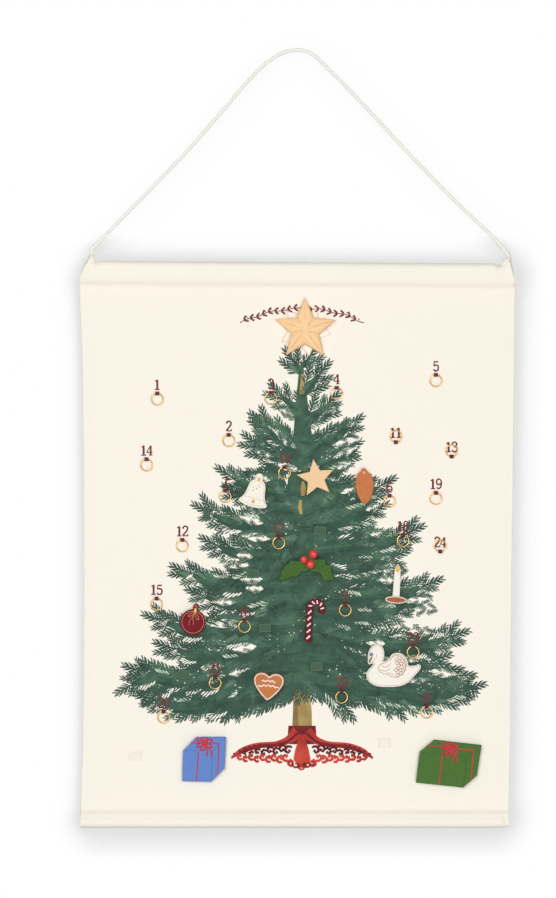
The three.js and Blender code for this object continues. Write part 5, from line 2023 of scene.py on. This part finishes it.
def make_heart():
    def crowned(x, z, near):
        return 5.2 + 3.8 * min(near / 11, 1) ** 0.6

    heart = cut_felt("heart_felt", "gingerbread_heart", heart_line(), ginger_felt, "ginger_felt",
                     ("gingerbread_heart",), thickness=9, edge=3.2, rim=2.4, top=crowned)
    piping = inset(heart_line(), 1.9)
    embroider("heart_piping", "gingerbread_heart", [(piping, 2.3)], 1.1, icing_thread,
              "ginger_felt", -5.9, loop=True)
    icing = []
    for z0, wide, waves in ((8.2, 9.5, 3.0), (1.6, 14.5, 4.5)):
        line = []
        for s in np.linspace(0, 1, 41):
            x = (2 * s - 1) * wide
            line.append((x, z0 - 0.012 * x * x + 0.9 * math.sin(2 * math.pi * waves * s)))
        icing.append((line, 2.2))
    embroider("heart_icing", "gingerbread_heart", icing, 0.8, icing_thread, "ginger_felt", -8.8)
    hook_pad("gingerbread_heart")


make_heart()


def swan_line():
    line = Outline(-32.5, 5).bow(-36.5, 6, -35.4, 11.5).sweep(-37, 26, -29, 34, -22, 33.5)
    line.sweep(-12, 33, -10.5, 20, -14, 9.5).bow(-7, 10.5, -4.5, 15.5)
    line.sweep(-2, 22.5, 10, 24, 16, 17).bow(20.5, 12, 21.5, 3.5)
    line.bow(30, 2.5, 34.5, 5.5).bow(39.5, 6, 38.5, -0.5)
    line.sweep(33, -9, 27, -13, 24, -17.5).sweep(14, -27.5, 0, -26.5, -12, -26.5)
    line.sweep(-30, -26.5, -38, -18, -37.5, -9).sweep(-37, -2, -30, 1, -27.5, 6.5)
    line.bow(-30.5, 6.5, -32.5, 5)
    return line.closed()


def wing_line():
    line = Outline(-22, -1).sweep(-22, 8, -11, 8, -4.5, 12.5).sweep(-1, 20.5, 9, 20.5, 13.5, 15)
    line.sweep(19, 8, 20, -2, 14, -8).sweep(8, -14, 0, -14.5, -5, -11.5)
    line.sweep(-12, -8, -19, -9, -22, -1)
    return line.closed()


def make_swan():
    cut_felt("swan_felt", "swan", swan_line(), white_felt, "white_felt", ("swan",))
    cut_felt("wing_felt", "swan", wing_line(), white_felt, "white_felt", ("swan_wing",),
             level=felt, thickness=thin_felt, edge=0.7)
    outline = looped(inset(swan_line(), 1.9))
    throat = flowing([(-23.5, 20), (-23.6, 15.5), (-28, 10.5), (-31.2, 6.8)])
    sew("swan_outline", "swan", [outline, throat], 1.5, 1.5, 0.75, rose_thread, "white_felt")
    wing = looped(inset(wing_line(), 1.1))
    turns = np.linspace(0, 2 * math.pi, 14)
    feathers = []
    for row, (count, reach) in enumerate([(6, 13.5), (6, 9.5), (4, 5.5)]):
        for k in range(count):
            a = math.radians(-75 + 150 * (k + 0.5 * (row % 2)) / (count - 0.5))
            cx, cz = 2.5 + 0.95 * reach * math.cos(a), 3.0 + reach * math.sin(a)
            feathers.append([(cx + 2.86 * math.cos(t), cz + 2.2 * math.sin(t)) for t in turns])
    plume = [flowing([(-19, -1.5), (-13, -4), (-8, -3), (-4, 1)]),
             flowing([(-16, 3), (-11, 1.5), (-7, 3.5), (-3, 7)]),
             flowing([(-10, -6.5), (-5, -7), (0, -9)])]
    sew("wing_feathers", "swan", [wing] + feathers + plume, 1.35, 1.4, 0.9, feather_thread,
        "white_felt", -felt - thin_felt)
    eye = [([(-33.0, 18.6), (-28.2, 20.0)], 4.2)]
    embroider("swan_eye", "swan", eye, 0.5, blue_thread, "white_felt")
    beak = [([(-29.6, 16.2), (-33.6, 8.6)], 2.8)]
    embroider("swan_beak", "swan", beak, 0.5, beak_thread, "white_felt")
    hook_pad("swan")


make_swan()


bow_loops = (
    (150, 1.0), (205, 0.95), (250, 0.9), (25, 1.0), (-25, 0.95), (62, 0.75), (112, 0.75),
)


def bow_lines(x, z, size):
    """Loops of ribbon round a knot, and two tails."""
    lines = []
    for a, reach in bow_loops:
        w = math.radians(a)
        loop = []
        for k in range(13):
            t = 2 * math.pi * k / 12
            out = reach * size * 0.5 * (1 - math.cos(t))
            side = 0.2 * size * math.sin(t)
            loop.append((x + out * math.cos(w) - side * math.sin(w),
                         z + out * math.sin(w) + side * math.cos(w)))
        lines.append(loop)
    for tail in ([(0.35, 0.8), (0.25, 1.5)], [(0.7, 0.7), (0.9, 1.55)]):
        lines.append(flowing([(x, z)] + [(x + a * size, z - b * size) for a, b in tail]))
    return lines


def make_gift(name, corners, folds, ribbons, bow, finish, slot, fold_thread):
    cut_felt(f"{name}_felt", name, corners[::-1], finish, slot, (name,))
    sew(f"{name}_folds", name, folds, 1.7, 1.7, 0.8, fold_thread, slot, high=0.35)
    lines = [(line, 1.7) for line in ribbons]
    embroider(f"{name}_ribbon", name, lines, 0.55, ribbon_thread, slot)
    x, z, size = bow
    lines = [(line, 2.1) for line in bow_lines(x, z, size)]
    embroider(f"{name}_bow", name, lines, 0.9, ribbon_thread, slot, -felt - 0.2)
    knot = [([(x - 2.8, z), (x + 2.8, z)], 5.0)]
    embroider(f"{name}_knot", name, knot, 1.5, ribbon_thread, slot, -felt - 0.3)
    hook_pad(name)


def make_gifts():
    make_gift(
        "blue_gift",
        [(31, 31), (-10, 31), (-29, 11.5), (-30.5, -31), (10, -32), (29, -13)],
        [[(-28, 12.0), (11.9, 11.4)], [(11.9, 11.4), (10.3, -31)], [(11.9, 11.4), (30, 30.4)]],
        [
            [(-18.6, 22.8), (20.9, 21.5)], [(20.9, 21.5), (19.4, -20.6)],
            [(-7.4, 10.6), (-10.6, -30.8)],
        ],
        (0.6, 21.8, 12), blue_felt, "blue_felt", deep_blue_thread,
    )
    make_gift(
        "green_gift",
        [(46, 25.5), (-20, 33), (-40.5, 16), (-46, -27), (20, -34), (39.5, -17)],
        [[(-39.5, 15.6), (25, 8.6)], [(25, 8.6), (20.4, -33)], [(25, 8.6), (45, 25)]],
        [[(-29, 25.0), (35, 18.0)], [(35, 18.0), (31, -22.6)], [(-8.8, 11.4), (-13.8, -29.4)]],
        (1.2, 20.2, 12.5), gift_green_felt, "gift_green_felt", deep_green_thread,
    )


make_gifts()

# Loop tape. The patches under the ornaments are where their hook pads are.

tape_width, tape_height, tape_thick = 17, 12.5, 1.0
tape_margin = 1.2
spare_tape = [
    (-45, -809, True), (27, -863, True), (32, -673, True), (-159, -874, True),
    (-62, -733, True), (-227, -989, False), (122, -970, False),
]
tall_tape = [(-57.5, -519), (-127, -649.5)]


def tape(name, width, height, place, finish, bevel):
    """A rectangle of loop tape with rounded edges, its back a little way in the cloth."""
    piece = added(name, bpy.ops.mesh.primitive_cube_add, size=1, location=(0, 0, 0))
    piece.scale = (width * MM, (tape_thick + 0.25) * MM, height * MM)
    settled(piece)
    smooth(shaped(piece, "BEVEL", width=bevel * MM, segments=2, limit_method="NONE"))
    piece.data.transform(place @ shift(0, -tape_thick / 2 + 0.12, 0))
    done(piece, "panel", "canvas", finish)


def spare_patch(name, width, height, x, z, green):
    place = shift(x, cloth_front, z)
    tape(name, width, height, place, loop_green if green else loop_cream, 0.3)
    right, top = width / 2 - tape_margin, height / 2 - tape_margin
    border = [(-right, -top), (right, -top), (right, top), (-right, top)]
    sewn = stitches(f"{name}_stitches", [looped(border)], 2.1, 1.8, 0.6, 0.35,
                    -tape_thick - 0.02, place)
    done(sewn, "panel", "canvas", pale_green_thread if green else cream_thread)


def make_tapes():
    for k, (x, z, green) in enumerate(spare_tape, 1):
        spare_patch(f"spare_tape_{k}", tape_width, tape_height, x, z, green)
    for k, (x, z) in enumerate(tall_tape, 1):
        spare_patch(f"tall_tape_{k}", 9.5, 18, x, z, True)
    for name in ornament_names:
        middle = middle_of(f"{name}_pad")
        turn = Matrix.Rotation(math.radians(ornament_facts[name][1]), 4, "Y")
        place = Matrix.Translation((middle.x, cloth_front * MM, middle.z)) @ turn
        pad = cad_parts[f"{name}_pad"].data
        around = np.array([turn.inverted() @ v.co for v in pad.vertices])
        width, _, height = (around.max(0) - around.min(0)) / MM
        on_bare_cloth = name in ("star_topper", "blue_gift", "green_gift")
        finish = loop_cream if on_bare_cloth else loop_green
        tape(f"{name}_loop_tape", width, height, place, finish, 0.25)


make_tapes()

# Setting for the picture: wall, floor and soft lamps

wall_gap = 10.5
floor_level = -1.9
# The shade on the wall is painted: its glow is dimmed by ambient occlusion within shade_reach,
# faded above the panel's top and never below deepest_shade.
shade_reach = 0.045
shade_top = 0.346  # where the shade fades, over the wall's middle, so the cord leaves next to none
shade_fade = 42.0  # how steeply it does
least_share = 0.12
deepest_shade = 0.76


def backdrop_finish():
    """A plain white glow that only the camera sees, from its front, with a painted shade: the glow
    is dimmed where ambient occlusion finds the panel near. Light passes through it, so the object
    is lit the same from all sides."""
    made = bpy.data.materials.new("backdrop")
    made.use_nodes = True
    w = Wiring(made.node_tree)
    made.node_tree.nodes.clear()
    # Painted shadow: the occlusion is read round a normal tilted up and to the left, so the painted
    # shade lies more to the lower right, as if lit from the upper left.
    painted_shade_tilt = w.node("ShaderNodeCombineXYZ", {"X": -0.2, "Y": -0.95, "Z": 0.22})
    near = w.node("ShaderNodeAmbientOcclusion", {"Distance": shade_reach}, samples=8)
    w.set(near.inputs["Normal"], painted_shade_tilt.outputs[0])
    covered = w.math("SUBTRACT", 1.0, w.math("POWER", near.outputs["AO"], 1.4))
    place = w.node("ShaderNodeSeparateXYZ")
    w.set(place.inputs[0], w.node("ShaderNodeTexCoord").outputs["Object"])
    # The painted shade fades out above the panel's top, so the cord leaves next to none.
    below_cord = w.math("SUBTRACT", shade_top, place.outputs["Y"])
    share = w.math("MAXIMUM", w.math("MULTIPLY", below_cord, shade_fade), least_share)
    shade = w.math("MULTIPLY", covered, w.math("MINIMUM", share, 1.0))
    open_share = w.math("MAXIMUM", w.math("SUBTRACT", 1.0, shade), deepest_shade)
    glow = w.node("ShaderNodeEmission", {"Color": (1, 1, 1, 1), "Strength": open_share})
    clear = w.node("ShaderNodeBsdfTransparent")
    seen = w.node("ShaderNodeLightPath").outputs["Is Camera Ray"]
    facing = w.math("SUBTRACT", 1.0, w.node("ShaderNodeNewGeometry").outputs["Backfacing"])
    mix = w.node("ShaderNodeMixShader", {0: w.math("MULTIPLY", seen, facing)})
    w.set(mix.inputs[1], clear.outputs[0])
    w.set(mix.inputs[2], glow.outputs[0])
    w.node("ShaderNodeOutputMaterial", {"Surface": mix.outputs[0]})
    return made


def make_backdrop():
    """The wall that the calendar hangs on, and a floor well below it."""
    finish = backdrop_finish()
    for name, at, turn in (
        ("wall", (0, wall_gap * MM, -0.6), (math.pi / 2, 0, 0)),
        ("floor", (0, wall_gap * MM - 4, floor_level), (0, 0, 0)),
    ):
        piece = added(name, bpy.ops.mesh.primitive_plane_add, size=8, location=at, rotation=turn)
        piece.data.materials.append(finish)


def lamp(name, at, aim, size, power):
    data = bpy.data.lights.new(name, "AREA")
    data.shape = "DISK"
    data.size = size
    data.energy = power
    piece = bpy.data.objects.new(name, data)
    piece.location = at
    piece.rotation_euler = (Vector(aim) - Vector(at)).to_track_quat("-Z", "Y").to_euler()
    bpy.context.collection.objects.link(piece)


def make_setting():
    middle = (0, 0, -0.65)
    make_backdrop()
    lamp("front_left", (-1.5, -4.3, 0.5), middle, 2.0, 90)
    lamp("front_right", (1.6, -4.3, -1.2), middle, 2.0, 64)
    lamp("under", (0.2, -1.6, -3.4), middle, 1.6, 7)
    lamp("behind", (0.8, 3.2, 0.9), middle, 2.6, 60)
    world = bpy.data.worlds.new("studio")
    world.use_nodes = True
    bpy.context.scene.world = world
    w = Wiring(world.node_tree)
    world.node_tree.nodes.clear()
    path = w.node("ShaderNodeLightPath").outputs
    seen = w.math("MAXIMUM", path["Is Camera Ray"], path["Is Glossy Ray"])
    seen = w.math("MAXIMUM", seen, path["Is Transmission Ray"])
    strength = w.math("ADD", 0.34, w.math("MULTIPLY", seen, 0.66))
    sky = w.node("ShaderNodeBackground", {"Color": (1, 1, 1, 1), "Strength": strength})
    w.node("ShaderNodeOutputWorld", {"Surface": sky.outputs[0]})
    bpy.context.scene.view_settings.view_transform = "Standard"


make_setting()
